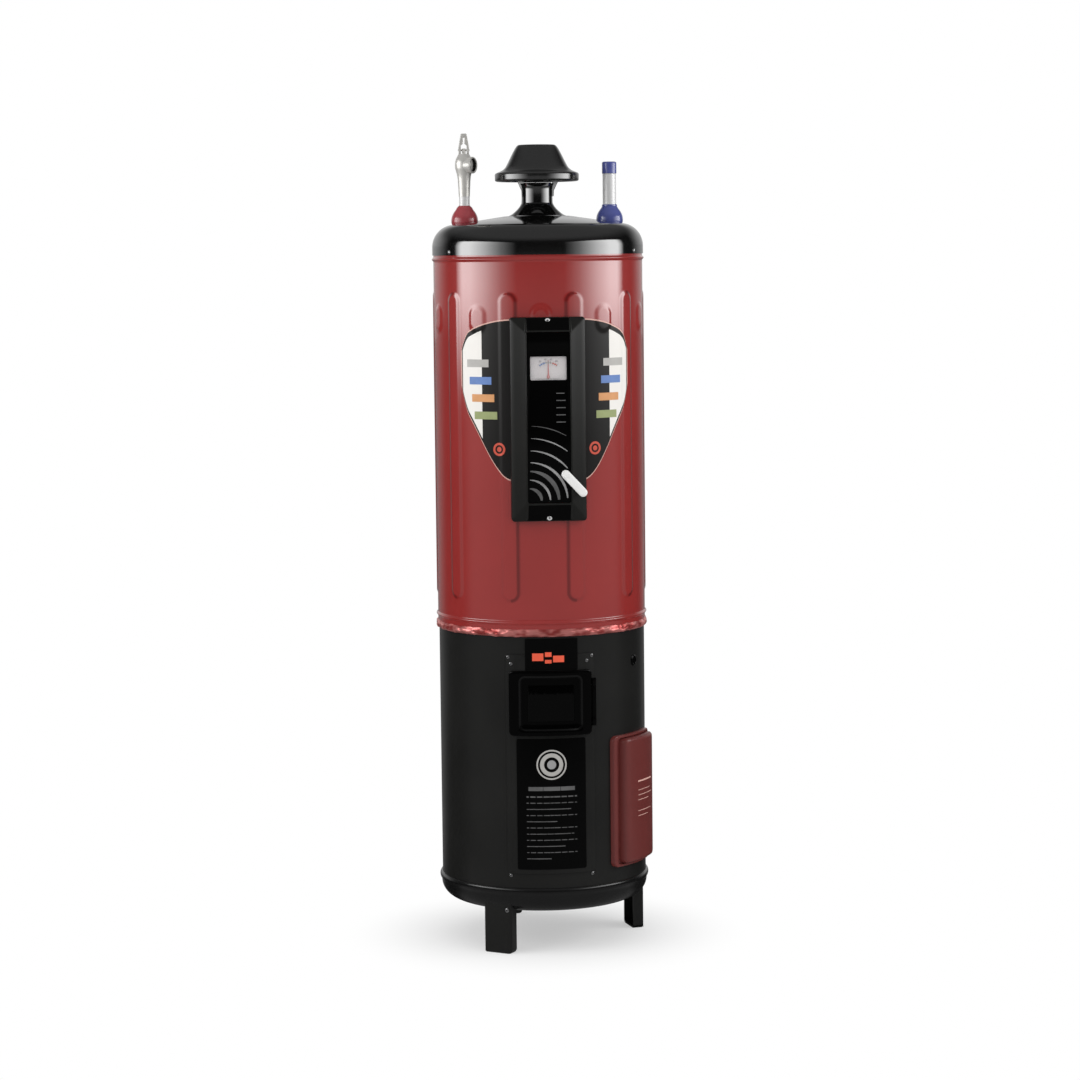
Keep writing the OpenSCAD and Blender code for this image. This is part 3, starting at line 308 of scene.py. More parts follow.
def finish(name, colour, rough, metal=0.0, specular=0.5, ior=1.5, coat=0.0, coat_rough=0.04, coat_ior=1.5,
           tint=0.10, cloud=9.0, spread=0.05, grain=500.0, bump=0.03, clear=1.0, stretch=(1, 1, 1), painted_shade=None):
    """A procedural finish: clouded colour, uneven gloss and a fine skin. The last argument is the colour of the
    painted shade that darkens folds and hollows, weighted by a shade attribute of the mesh."""
    mat = bpy.data.materials.new(name)
    mat.use_nodes = True
    nodes, link = mat.node_tree.nodes, mat.node_tree.links.new
    shader = nodes["Principled BSDF"]
    for socket, value in (("Metallic", metal), ("Specular IOR Level", specular), ("IOR", ior),
                          ("Coat Weight", coat), ("Coat Roughness", coat_rough), ("Coat IOR", coat_ior),
                          ("Alpha", clear)):
        shader.inputs[socket].default_value = value
    where = nodes.new("ShaderNodeTexCoord")
    scaled = nodes.new("ShaderNodeMapping")
    scaled.inputs["Scale"].default_value = stretch
    link(where.outputs["Object"], scaled.inputs["Vector"])

    def cloudy(scale, detail):
        n = nodes.new("ShaderNodeTexNoise")
        n.inputs["Scale"].default_value = scale
        n.inputs["Detail"].default_value = detail
        link(scaled.outputs["Vector"], n.inputs["Vector"])
        return n.outputs["Fac"]

    ramp = nodes.new("ShaderNodeValToRGB")
    for stop, at, change in zip(ramp.color_ramp.elements, (0.3, 0.7), (1 - tint, 1 + tint)):
        stop.position = at
        stop.color = tuple(min(c * change, 1.0) for c in colour[:3]) + (1.0,)
    link(cloudy(cloud, 4.0), ramp.inputs["Fac"])
    shown = ramp.outputs["Color"]
    # painted shade: the colour is multiplied towards the shade colour by the mesh's shade attribute
    if painted_shade:
        shade_amount = nodes.new("ShaderNodeAttribute")
        shade_amount.attribute_name = "painted_shade"
        shade = nodes.new("ShaderNodeMix")
        shade.data_type, shade.blend_type = "RGBA", "MULTIPLY"
        link(shade_amount.outputs["Fac"], shade.inputs[0])
        link(shown, shade.inputs[6])
        shade.inputs[7].default_value = painted_shade
        shown = shade.outputs[2]
    link(shown, shader.inputs["Base Color"])
    gloss = nodes.new("ShaderNodeMapRange")
    gloss.inputs["To Min"].default_value = max(rough - spread, 0.0)
    gloss.inputs["To Max"].default_value = min(rough + spread, 1.0)
    link(cloudy(cloud * 3.7, 5.0), gloss.inputs["Value"])
    link(gloss.outputs["Result"], shader.inputs["Roughness"])
    skin = nodes.new("ShaderNodeBump")
    skin.inputs["Strength"].default_value = 1.0
    skin.inputs["Distance"].default_value = bump * MM
    link(cloudy(grain, 2.0), skin.inputs["Height"])
    link(skin.outputs["Normal"], shader.inputs["Normal"])
    return mat


GLOSSY = dict(tint=0.1, grain=300, bump=0.003)
WORN = dict(spread=0.10, grain=900)
MOULDED = dict(coat=0.6, coat_rough=0.12, coat_ior=1.8, grain=700, bump=0.015)
INK = dict(grain=900, bump=0.004)
COLOURED = dict(INK, cloud=60)

# of each finish: its colour on a screen, its roughness, and what else isn't plain
LOOKS = {
    # red_enamel and red_trim carry a colour of painted shade for their folds and hollows
    "red_enamel": ((150, 36, 33), 0.45, dict(specular=0.2, coat=1.0, coat_rough=0.07, coat_ior=2.0, tint=0.04,
                                             grain=260, bump=0.006, painted_shade=(0.50, 0.08, 0.08, 1))),
    "cover_red": ((108, 44, 41), 0.36, dict(coat=0.3, coat_rough=0.2, tint=0.05, grain=420, bump=0.012)),
    "red_trim": ((238, 146, 141), 0.36, dict(metal=0.7, coat=0.2, coat_rough=0.2, cloud=40, grain=160,
                                             bump=0.05, painted_shade=(0.52, 0.20, 0.20, 1))),
    "black_enamel": ((28, 28, 27), 0.30, dict(specular=0.36, tint=0.16, cloud=6, grain=420, bump=0.010)),
    "pan_black": ((16, 16, 16), 0.20, dict(specular=0.6, tint=0.14, cloud=6, grain=420, bump=0.006)),
    "gloss_black_enamel": ((9, 9, 9), 0.09, dict(GLOSSY, ior=2.4, spread=0.02, grain=220)),
    "hood_black": ((22, 22, 22), 0.13, dict(ior=2.2, spread=0.03, grain=220, bump=0.004)),
    "black_plastic": ((25, 25, 23), 0.34, dict(specular=0.4, tint=0.12, grain=900, bump=0.02)),
    "gloss_black_plastic": ((4, 4, 4), 0.16, dict(GLOSSY, specular=0.12)),
    "door_black": ((2, 2, 2), 0.10, dict(GLOSSY, specular=0.13, spread=0.03)),
    "rim_black": ((3, 3, 3), 0.24, dict(GLOSSY, spread=0.03)),
    "plate_black": ((5, 5, 5), 0.30, dict(specular=0.12, tint=0.12, grain=700, bump=0.006)),
    "zinc_steel": ((205, 205, 206), 0.30, dict(WORN, metal=1.0, tint=0.07, cloud=70, bump=0.02,
                                               stretch=(1, 1, 0.15))),
    "galvanised": ((226, 226, 226), 0.42, dict(WORN, metal=0.30, tint=0.05, cloud=70, bump=0.015,
                                               stretch=(1, 1, 0.15))),
    "satin_chrome": ((226, 224, 219), 0.38, dict(metal=0.55, tint=0.03, cloud=24, spread=0.04, grain=700,
                                                 bump=0.01)),
    "chrome": ((226, 224, 220), 0.13, dict(metal=1.0, tint=0.03, cloud=30, bump=0.008)),
    "tank_steel": ((88, 92, 96), 0.50, dict(metal=0.85, tint=0.14, cloud=14, spread=0.12, bump=0.04)),
    "glass_wool": ((222, 188, 72), 0.92, dict(specular=0.2, tint=0.20, cloud=60, grain=420, bump=1.2)),
    "white_plastic": ((240, 240, 238), 0.28, dict(tint=0.015, grain=700, bump=0.010)),
    "dial_white": ((212, 206, 207), 0.45, dict(tint=0.02, grain=900, bump=0.006)),
    "signal_red": ((196, 62, 58), 0.40, dict(tint=0.05, grain=900, bump=0.006)),
    "clear_lens": ((250, 250, 250), 0.02, dict(ior=1.45, clear=0.10, tint=0.0, spread=0.01, grain=200,
                                               bump=0.002)),
    "dark_glass": ((2, 2, 2), 0.07, dict(GLOSSY, specular=0.2, spread=0.02, grain=150)),
    "red_plastic": ((158, 62, 69), 0.26, dict(MOULDED, tint=0.05)),
    "blue_plastic": ((76, 84, 148), 0.22, dict(MOULDED, tint=0.06)),
    "cast_alloy": ((150, 152, 155), 0.46, dict(WORN, metal=0.85, tint=0.08, cloud=50, bump=0.06)),
    "cast_iron": ((52, 50, 49), 0.66, dict(metal=0.5, tint=0.2, cloud=60, spread=0.12, grain=700, bump=0.15)),
    "brass": ((196, 158, 88), 0.27, dict(metal=1.0, tint=0.08, cloud=50, spread=0.10, grain=700, bump=0.02)),
    # a flat black that paints the shade inside the valve's port and the screws' slots
    "shade_black": ((14, 14, 14), 0.55, dict(specular=0.3, tint=0.2, grain=600, bump=0.05)),
    "print_white": ((236, 233, 228), 0.34, dict(INK, tint=0.015)),
    "print_cream": ((222, 176, 164), 0.36, dict(INK, tint=0.03)),
    "print_black": ((22, 20, 19), 0.34, dict(INK, specular=0.35)),
    "print_grey": ((178, 176, 172), 0.36, dict(COLOURED, tint=0.04)),
    "print_blue": ((96, 130, 190), 0.36, dict(COLOURED, tint=0.06)),
    "print_orange": ((214, 152, 98), 0.36, dict(COLOURED, tint=0.06)),
    "print_green": ((150, 160, 108), 0.36, dict(COLOURED, tint=0.06)),
    "print_red": ((206, 82, 62), 0.36, dict(COLOURED, tint=0.05)),
    "print_vermilion": ((238, 92, 62), 0.36, dict(COLOURED, tint=0.05)),
    "print_silver": ((172, 172, 172), 0.34, dict(INK, metal=0.35, tint=0.22, cloud=22)),
    "print_dim": ((92, 92, 92), 0.40, dict(INK, tint=0.20, cloud=40)),
}
FINISH = {name: finish(name, srgb(*colour), rough, **more) for name, (colour, rough, more) in LOOKS.items()}

# every CAD node takes the finish of its slot in the record, apart from these
OWN_FINISH = {"hot_nipple": "galvanised", "hood_struts": "hood_black", "drain_handle": "red_plastic",
              "relief_lever": "satin_chrome", "door_hinge": "gloss_black_plastic"}
for row in frame["record"]["subparts"]:
    slots = NODES[row["node"]].data.materials
    slots.clear()
    slots.append(FINISH[OWN_FINISH.get(row["node"], row["material_slot"])])


def soften(node, edge, limit=35.0):
    """Welds a CAD node's split corners and rounds its edges for the render, leaving its mesh alone."""
    weld = NODES[node].modifiers.new("weld", "WELD")
    weld.merge_threshold = 0.00001
    bevel = NODES[node].modifiers.new("bevel", "BEVEL")
    bevel.width = edge * MM
    bevel.segments = 3
    bevel.limit_method = "ANGLE"
    bevel.angle_limit = radians(limit)
    bevel.harden_normals = True


for node, edge in {
        "front_panel": 0.7, "instruction_plate": 0.3, "relief_lever": 0.9, "gas_valve": 2.0,
        "thermostat_dial": 1.2, "pilot_button": 1.0, "drain_valve": 0.8, "drain_handle": 1.2, "gas_inlet": 0.8,
        "main_burner": 0.8, "burner_bracket": 0.6, "gauge_case": 0.6, "gauge_needle": 0.12,
        "selector_pivot": 0.4, "hood_struts": 0.5, "door_hinge": 0.5, "control_hinge": 0.5, "sight_glass": 0.3,
        "anode_rod": 0.6, "relief_pin": 0.4}.items():
    soften(node, edge)

# ---- red jacket with pressed flutes

LOWER_R = right_of("lower_jacket")
JACKET_R = LOWER_R + 2.0
UPPER_Z, UPPER_TOP = heights("upper_jacket")
FLUTES = 10
PITCH = 360.0 / FLUTES
ARCH_BEARING = -3.2
FLUTE_W, FLUTE_LOW, FLUTE_TOP = 41.6, UPPER_Z + 56, UPPER_TOP - 83
ARCH_W, ARCH_LOW, ARCH_TOP = 46.0, UPPER_TOP - 168, UPPER_TOP - 106
PRESS = 1.9
FLUTE_EDGE, ARCH_EDGE = 9.0, 12.0
BEADS = BEAD_LOW, BEAD_TOP = UPPER_Z + 17, UPPER_TOP - 20
BEAD_HALF, BEAD_RISE = 5.2, 3.0
PRESSINGS = ((PITCH / 2, FLUTE_W, FLUTE_LOW, FLUTE_TOP, FLUTE_EDGE), (0.0, ARCH_W, ARCH_LOW, ARCH_TOP, ARCH_EDGE))
FAR_FOLD_SHADE = 0.2              # how dark the painted shade in the fold on the far side of a flute is, next to the near one


def depth_in(bearing, z, shift, w, low, top, edge):
    """How far a point is up the edge of a pressing, from 0 outside it to 1 on its flat."""
    off = (bearing - ARCH_BEARING - shift + PITCH / 2) % PITCH - PITCH / 2
    end = max(low + w / 2 - z, z - top + w / 2, 0.0)
    return min(max((w / 2 - hypot(radians(off) * JACKET_R, end)) / edge, 0.0), 1.0)


def creased(bearing, z):
    """How dark the painted shade in the fold of a flute is: most half-way up the edge towards the nearest even
    arch.
    """
    t = depth_in(bearing, z, *PRESSINGS[0])
    along = (bearing - ARCH_BEARING) / PITCH
    near_even = (along % 1 < 0.5) == (along % 2 < 1)
    return 4 * t * (1 - t) * (1.0 if near_even else FAR_FOLD_SHADE)


def pressed(bearing, z):
    """How far the jacket stands out of a plain cylinder."""
    out = sum(PRESS * ease(depth_in(bearing, z, *row)) for row in PRESSINGS)
    for bead in BEADS:
        if abs(z - bead) < BEAD_HALF:
            out += BEAD_RISE * cos((z - bead) / BEAD_HALF * pi / 2) ** 2
    return out


def on_jacket(lift):
    def place(bearing, z):
        r, t = JACKET_R + pressed(bearing, z) + lift, radians(bearing)
        return r * sin(t), -r * cos(t), z
    return place


def upper_jacket(columns=640, wall=1.2):
    """The jacket, with its rows closest where it bends."""
    rows = [UPPER_Z, UPPER_Z + 0.5]
    for low, high, step in ((UPPER_Z + 3, BEAD_LOW - 7, 6), (BEAD_LOW - 6, BEAD_LOW + 6, 0.8),
                            (BEAD_LOW + 8, FLUTE_LOW - 1, 8), (FLUTE_LOW, FLUTE_LOW + 20, 1.4),
                            (FLUTE_LOW + 24, ARCH_LOW - 2, 24), (ARCH_LOW, FLUTE_TOP + 1, 1.4),
                            (FLUTE_TOP + 6, BEAD_TOP - 8, 10), (BEAD_TOP - 6, BEAD_TOP + 6, 0.8)):
        rows += steps_between(low, high, max(1, round((high - low) / step)))
    rows += [UPPER_TOP - 8, UPPER_TOP - 0.5, UPPER_TOP]
    profile = [(JACKET_R, z) for z in rows] + [(JACKET_R - wall, UPPER_TOP), (JACKET_R - wall, UPPER_Z)]

    def skin(r, z, t):
        return (r + pressed(degrees(t), z), z) if r >= JACKET_R else (r, z)
    return lathe(profile, turns=columns, wobble=skin)


def shade_folds(obj, shade_amount):
    """Writes the painted shade of each corner, from 0 to 1, for the finish to darken its colour with."""
    row = obj.data.attributes.new("painted_shade", "FLOAT", "POINT")
    row.data.foreach_set("value", [shade_amount(atan2(v.co.x, -v.co.y), v.co.z / MM) for v in obj.data.vertices])


jacket = piece("jacket_upper", upper_jacket(), "red_enamel", nodes=["upper_jacket"], sharp=60)
# painted shade along the folds of the flutes, heavier on the side of each flute towards the nearest even arch
shade_folds(jacket, lambda t, z: creased(degrees(t), z))

# rolled edging over the joint of the two jackets, a little crumpled
TRIM_LOW, TRIM_TOP = heights("joint_trim")
TRIM_R = right_of("joint_trim")


def lump(t, z):
    """How far the edging bulges, in millimetres, round its turn."""
    way, up = Vector((sin(t), cos(t), 0)), Vector((0, 0, z))
    return noise.noise(way * 9 + up * 0.10) * 2.0 + noise.noise(way * 23 + up * 0.22) * 1.1


def crumple(r, z, t):
    out = r - LOWER_R
    if out < 0.5:
        return r, z
    way = Vector((sin(t), cos(t), 0))
    lift = noise.noise(way * 15 + Vector((7, 0, 0))) * 1.7 + noise.noise(way * 5 + Vector((0, 9, 0))) * 0.9
    return r + lump(t, z) * min(out / 4, 1) - 1.0, z + lift * min(out / 4, 1)


edging = [(LOWER_R + 0.3, TRIM_LOW + 0.6)]
edging += rounded([(LOWER_R + 1.2, TRIM_LOW + 0.2, 0.5), (TRIM_R - 2.4, TRIM_LOW + 1.2, 3.0),
                   (TRIM_R, TRIM_LOW + 6.0, 3.5), (TRIM_R - 0.6, TRIM_TOP - 5.0, 3.0),
                   (JACKET_R + 1.6, TRIM_TOP - 0.6, 2.0), (JACKET_R + 0.4, TRIM_TOP - 0.2)], closed=False, steps=6)
edging += [(JACKET_R + 0.2, TRIM_TOP - 1), (JACKET_R - 0.2, TRIM_LOW + 11)]
trim = piece("jacket_trim", lathe(edging, turns=840, wobble=crumple), "red_trim", nodes=["joint_trim"],
             sharp=70)
# painted shade in the hollows between the edging's lumps, weaker along its lowest 3 mm
shade_folds(trim, lambda t, z: ease(0.5 - lump(t, z) / 1.6) * (1.0 if z > TRIM_LOW + 3 else 0.6))

# ---- base pan with its rolled rim

PAN_Z, RIM_Z = heights("base_pan")[0], heights("lower_jacket")[0] + 14.0
PAN_R, PAN_CORNER, PAN_T, AIR_R = LOWER_R + 1.8, 34.0, 1.5, 55.0
CORNER_AT = PAN_R - PAN_CORNER, PAN_Z + PAN_CORNER
pan = smooth(raised([(LOWER_R + 0.4, 3.2), (LOWER_R + 2.2, 2.4), (PAN_R + 2.4, -0.4), (PAN_R + 3.4, -4.4),
                     (PAN_R + 2.6, -8.2), (PAN_R + 0.7, -11.4), (PAN_R, -14)], RIM_Z))
pan += arc(*CORNER_AT, PAN_CORNER, 0, -90, 16)[1:] + [(AIR_R, PAN_Z), (AIR_R, PAN_Z + PAN_T)]
pan += arc(*CORNER_AT, PAN_CORNER - PAN_T, -90, 0, 16)
piece("pan_base", lathe(pan, turns=200), "pan_black", nodes=["base_pan"], sharp=50)

# ---- legs: bent channels under the pan

LEG_BEARINGS = (-32, 102, 200)
LEG_FACE, LEG_W, LEG_DEPTH, LEG_T, LEG_CORNER = LOWER_R - 4.0, 61.0, 23.0, 2.5, 6.0
LEG_ROWS = 9


def pan_under(r):
    """Height of the outside of the pan at a radius."""
    out = max(r - PAN_R + PAN_CORNER, 0.0)
    return PAN_Z + PAN_CORNER - sqrt(PAN_CORNER ** 2 - out ** 2)


def leg():
    """A channel with rounded lower corners, cut to the pan at its top, and a foot plate in it."""
    w, d, t, m = LEG_W, LEG_DEPTH, LEG_T, LEG_ROWS
    turns = rounded([(-w / 2, -d), (-w / 2, 0, 4.5), (w / 2, 0, 4.5), (w / 2, -d), (w / 2 - t, -d),
                     (w / 2 - t, -t, 2), (t - w / 2, -t, 2), (t - w / 2, -d)])
    plan = []
    for (a, b), (c, e) in zip(turns, turns[1:] + turns[:1]):
        n = max(1, round(hypot(c - a, e - b) / 4))
        plan += [(a + (c - a) * k / n, b + (e - b) * k / n) for k in range(n)]
    verts, n = [], len(plan)
    for x, out in plan:
        off = max(abs(x) - w / 2 + LEG_CORNER, 0.0)
        low = LEG_CORNER - sqrt(LEG_CORNER ** 2 - off ** 2)
        top = pan_under(hypot(x, LEG_FACE + out)) + 0.5
        verts += [(x, -(LEG_FACE + out), z) for z in steps_between(low, top, m - 1)]
    ends = [tuple(i * m for i in range(n)), tuple(i * m + m - 1 for i in reversed(range(n)))]
    inside = w - 2 * t - 0.2
    foot = loft([(w - 8, d - t, 2, 0.0), (inside, d - t, 2, 1.4), (inside, d - t, 2, 4.6)],
                lambda x, z, up: (x, -(LEG_FACE - (d + t) / 2 + z), up), across=8)
    return joined((verts, quads(n, m, True) + ends), foot)


for k, bearing in enumerate(LEG_BEARINGS):
    node = "leg_%d" % (k + 1)
    piece("channel_" + node, at_bearing(leg(), bearing), "black_enamel", nodes=[node])

# ---- top cover, neck and hood

CAP_Z, BOSS_Z = heights("top_cover")
CAP_R = right_of("top_cover")
SHOULDER_R, SHOULDER_Z, DOME = 45.0, CAP_Z + 16, 8.5
SHEET = 1.5
BOSS_R, CAP_HOLE = 66.0, 38.0


def cap_profile(inset):
    """The cover from its lower edge, round its shoulder and up its slope to the boss."""
    turn = arc(CAP_R - SHOULDER_R, SHOULDER_Z, SHOULDER_R - inset, 0, 90 - DOME, 22)
    boss = turn[-1][1] + (turn[-1][0] - BOSS_R) * tan(radians(DOME))
    return [(CAP_R - inset, CAP_Z)] + turn + [(BOSS_R, boss), (CAP_HOLE, boss)]


piece("cover_top", lathe(cap_profile(0) + cap_profile(SHEET)[::-1], turns=200), "gloss_black_enamel",
      nodes=["top_cover"], sharp=50)

NECK_TOP = heights("flue_neck")[1]
NECK_R, NECK_FOOT_R, NECK_T = 31.2, 57.5, 1.6
NECK_Z = BOSS_Z - 0.4
neck = smooth(raised([(NECK_FOOT_R, 0.6), (49.5, 5), (38.5, 15), (32.4, 24), (NECK_R, 31)], BOSS_Z)
              + raised([(NECK_R, -16), (NECK_R + 0.8, -7), (NECK_R + 3.4, 0)], NECK_TOP))
neck += [(NECK_R + 1.8, NECK_TOP), (NECK_R - NECK_T, NECK_TOP - 8), (NECK_R - NECK_T, NECK_Z)]
piece("neck_flue", lathe([(NECK_FOOT_R, NECK_Z)] + neck, turns=128), "gloss_black_enamel", nodes=["flue_neck"],
      sharp=50)

HOOD_LOW, HOOD_TOP = heights("draft_hood")
HOOD_R = right_of("draft_hood")
OUTLET_R, OUTLET_LEN = 36.0, 14.0
BRIM_R, BRIM_DROP = 78.6, 54.4
BRIM_TOP = HOOD_TOP - BRIM_DROP
# radius and drop below the top, from the outlet over the rounded crown to the brim
CROWN = [(OUTLET_R + 0.6, 0.1), (37.8, 0.7), (39.8, 2.4), (42.0, 5.2), (44.4, 9.0), (47.4, 14.4), (51.0, 21.4),
         (55.4, 30.4), (60.0, 39.4), (63.4, 45.0), (68.4, 49.6), (74.0, 52.6), (BRIM_R, BRIM_DROP)]


def hood_line(inset):
    return [(r - inset, HOOD_TOP - d - inset * 0.8) for r, d in smooth(CROWN, 5)]


hood = raised([(OUTLET_R, -OUTLET_LEN), (OUTLET_R, -0.6), (OUTLET_R + 0.2, -0.2)], HOOD_TOP) + hood_line(0)
hood += rounded([(BRIM_R, BRIM_TOP), (HOOD_R, BRIM_TOP - 2.6, 4.4), (HOOD_R - 0.4, HOOD_LOW + 0.8, 4.4),
                 (HOOD_R - 7, HOOD_LOW, 2.0), (HOOD_R - 8, HOOD_LOW + 2.0)], closed=False)[1:]
hood += [(76.0, HOOD_LOW + 8.0)] + hood_line(SHEET)[::-1][1:-4] + [(OUTLET_R + SHEET, HOOD_TOP - OUTLET_LEN)]
piece("hood_draft", lathe(hood, turns=144), "hood_black", nodes=["draft_hood"],
      sharp=50)

# ---- pipes on the cover

PIPE_X = middle("cold_nipple").x
COLD_R, HOT_R = 13.45, 10.65
COLLAR_Z, COLLAR_TOP = heights("cold_collar")


def collar(pipe_r):
    """A bell-shaped collar round a pipe."""
    bell = raised([(25.4, 0), (26.6, 4), (26.8, 10), (25.4, 17), (22.0, 24), (17.6, 30), (15.4, 34)], COLLAR_Z)
    bell += [(pipe_r + 1.6, COLLAR_TOP - 1.0), (pipe_r + 0.8, COLLAR_TOP)]
    return smooth(bell) + [(pipe_r, COLLAR_TOP), (pipe_r, COLLAR_Z)]


for pipe, pipe_r, x, look in (("cold", COLD_R, PIPE_X, "blue_plastic"), ("hot", HOT_R, -PIPE_X, "red_plastic")):
    piece("collar_" + pipe, lathe(collar(pipe_r + 0.2), x, 0), look, nodes=[pipe + "_collar"])

# cold pipe with its thread, and the blue cap on it
PIPE_LOW, PIPE_TOP = heights("cold_nipple")
PIPE_T = 2.6
THREAD_LEN, THREAD_R, THREAD_PITCH, THREAD_DEEP = 22.0, 12.95, 1.81, 0.8


def threaded(r_pipe, r_thread, r_in, low, top, length):
    """Pipe with rings that stand for a thread at its upper end."""
    line = [(r_in, low), (r_pipe, low), (r_pipe, top - length)]
    for k in range(int(length / THREAD_PITCH) - 1):
        z = top - length + 0.8 + k * THREAD_PITCH
        line += [(r_thread - THREAD_DEEP, z), (r_thread, z + THREAD_PITCH * 0.45),
                 (r_thread, z + THREAD_PITCH * 0.6)]
    return line + [(r_thread - THREAD_DEEP, top), (r_in, top)]


piece("pipe_cold", lathe(threaded(COLD_R, THREAD_R, COLD_R - PIPE_T, PIPE_LOW, PIPE_TOP, THREAD_LEN), PIPE_X, 0),
      "galvanised", nodes=["cold_nipple"], sharp=30)
PLUG_LOW, PLUG_TOP = heights("cold_cap")
PLUG_R, PLUG_IN, PLUG_T = breadth("cold_cap") / 2, THREAD_R + 0.05, 1.4
piece("cap_cold", lathe(rounded([
    (PLUG_IN, PLUG_LOW), (PLUG_R, PLUG_LOW, 0.5), (PLUG_R, PLUG_TOP, 3.2), (0.02, PLUG_TOP),
    (0.02, PLUG_TOP - PLUG_T), (PLUG_IN, PLUG_TOP - PLUG_T)]), PIPE_X, 0), "blue_plastic", body="cold_cap",
    nodes=["cold_cap"])

# relief valve on the hot pipe: rounded body, side port and a neck that carries the lever
VALVE_LOW = heights("hot_nipple")[1] - 6
VALVE_R, STEM_R = 18.0, 3.6
PORT_BEARING, PORT_Z, PORT_R, PORT_IN, PORT_REACH = 55.0, VALVE_LOW + 22, 16.5, 13.2, 22.0
PIN_Z = middle("relief_pin").z
FORK_Z = heights("relief_lever")[0]
valve = smooth(raised([(HOT_R + 0.5, -40), (HOT_R + 0.9, -30), (12.6, -10), (13.6, 0), (15.4, 8),
                       (VALVE_R - 0.5, 16), (VALVE_R, 24), (17.0, 32), (13.6, 39)], VALVE_LOW)
               + [(10.8, FORK_Z - 0.5)])
valve += [(STEM_R, FORK_Z - 0.4), (STEM_R, PIN_Z + 3.4), (0.02, PIN_Z + 3.6)]
valve += raised([(0.02, 10), (HOT_R + 0.1, 10)], VALVE_LOW)
piece("valve_body", lathe([(HOT_R + 0.1, VALVE_LOW - 40)] + valve, -PIPE_X, 0, turns=72), "satin_chrome",
      nodes=["relief_body"], sharp=50)
port_at = facing(radial(PORT_BEARING), Vector((-PIPE_X, 0, PORT_Z)))
port = [(PORT_IN, 5), (PORT_R, 5), (PORT_R, PORT_REACH, 1.4), (PORT_IN, PORT_REACH, 1.0)]
piece("valve_port", moved(lathe(rounded(port), turns=72), port_at), "satin_chrome")
# the port's inside is lined with black as painted shade
bore = [(0.02, 5.5), (PORT_IN + 0.02, 5.5), (PORT_IN + 0.02, PORT_REACH - 1.6), (PORT_IN - 0.5, PORT_REACH - 1.6),
        (PORT_IN - 0.5, 6.4, 0.6), (0.02, 6.4)]
piece("valve_bore", moved(lathe(rounded(bore), turns=72), port_at), "shade_black")

# ---- control panel

PANEL_LOW, PANEL_TOP = heights("panel_housing")
PANEL_W, PANEL_H = breadth("panel_housing"), PANEL_TOP - PANEL_LOW
PANEL_Y, PANEL_Z = front_of("panel_housing"), (PANEL_LOW + PANEL_TOP) / 2
INSERT_LOW, INSERT_TOP = heights("panel_insert")
INSERT_W, INSERT_H = breadth("panel_insert"), INSERT_TOP - INSERT_LOW
INSERT_Y, INSERT_Z = front_of("panel_insert"), (INSERT_LOW + INSERT_TOP) / 2
INSERT_UP = INSERT_Z - PANEL_Z
SLOPE = 15.0
EDGE_Y = PANEL_Y - SLOPE
RIM_W, RIM_H = INSERT_W - 7.0, INSERT_H + 4.0
GAUGE_Z = middle("gauge_lens").z
GAUGE_W, GAUGE_H = 70.0, 45.0
GAUGE_UP = GAUGE_Z - INSERT_Z


def panel_level(t, out):
    """A loop of the housing between its outer edge (t = 0) and the rim of the insert (t = 1)."""
    return (PANEL_W + (RIM_W - PANEL_W) * t, PANEL_H + (RIM_H - PANEL_H) * t, 6.0 - 2.0 * t, out, INSERT_UP * t)


def on_panel(x, z, out):
    """Flat in front, but laid on the jacket where out is 0."""
    return flat(x, z, out) if out else bent(x, z, JACKET_R + 0.3)


levels = [panel_level(t, out) for t, out in (
    (0, 0), (0, EDGE_Y - 6), (0, EDGE_Y - 2.6), (0.01, EDGE_Y - 1.1), (0.04, EDGE_Y - 0.1),
    *((t, EDGE_Y + t * SLOPE) for t in (0.1, 0.3, 0.6, 0.9)),
    (0.95, PANEL_Y - 0.55), (0.98, PANEL_Y - 0.15), (1.0, PANEL_Y))]
levels += grown(RIM_W, RIM_H, PANEL_Y, [(d, 4, more, INSERT_UP) for d, more in (
    (-1.6, -0.3), (-2.6, -1.0), (-3.2, -2.2), (-3.4, INSERT_Y - PANEL_Y - 0.4))])
piece("panel_frame", loft(levels, on_panel, False, z=PANEL_Z), "black_plastic", nodes=["panel_housing"],
      sharp=34)

RIB = ((-2.6, -0.6), (-1.7, 0.9), (-0.6, 1.5), (0.6, 1.5), (1.7, 0.9), (2.6, -0.6))


def end_rib(x, far, near):
    """A raised rib that carries the side of the insert on down an end slope of the housing."""
    verts = []
    for t in steps_between(0.06, 1.0, 8):
        out = EDGE_Y + SLOPE * t
        verts += [(x + dx, -min(out + dy * min(1, 3 * (t - 0.05)), PANEL_Y + 0.2), far + (near - far) * t)
                  for dx, dy in RIB]
    return verts, quads(9, len(RIB))


def side_bead(x, r=1.7, steps=8):
    """A slim rounded bead along a side of the insert."""
    verts = []
    for z, size in ((INSERT_LOW - 1, 0.4), (INSERT_LOW + 3, 1.0), (INSERT_TOP - 3, 1.0), (INSERT_TOP + 1, 0.4)):
        verts += [(x + p * size, -(PANEL_Y - 0.8 + q * size), z) for p, q in arc(0, 0, r, 0, 180, steps)]
    return verts, quads(4, steps + 1)


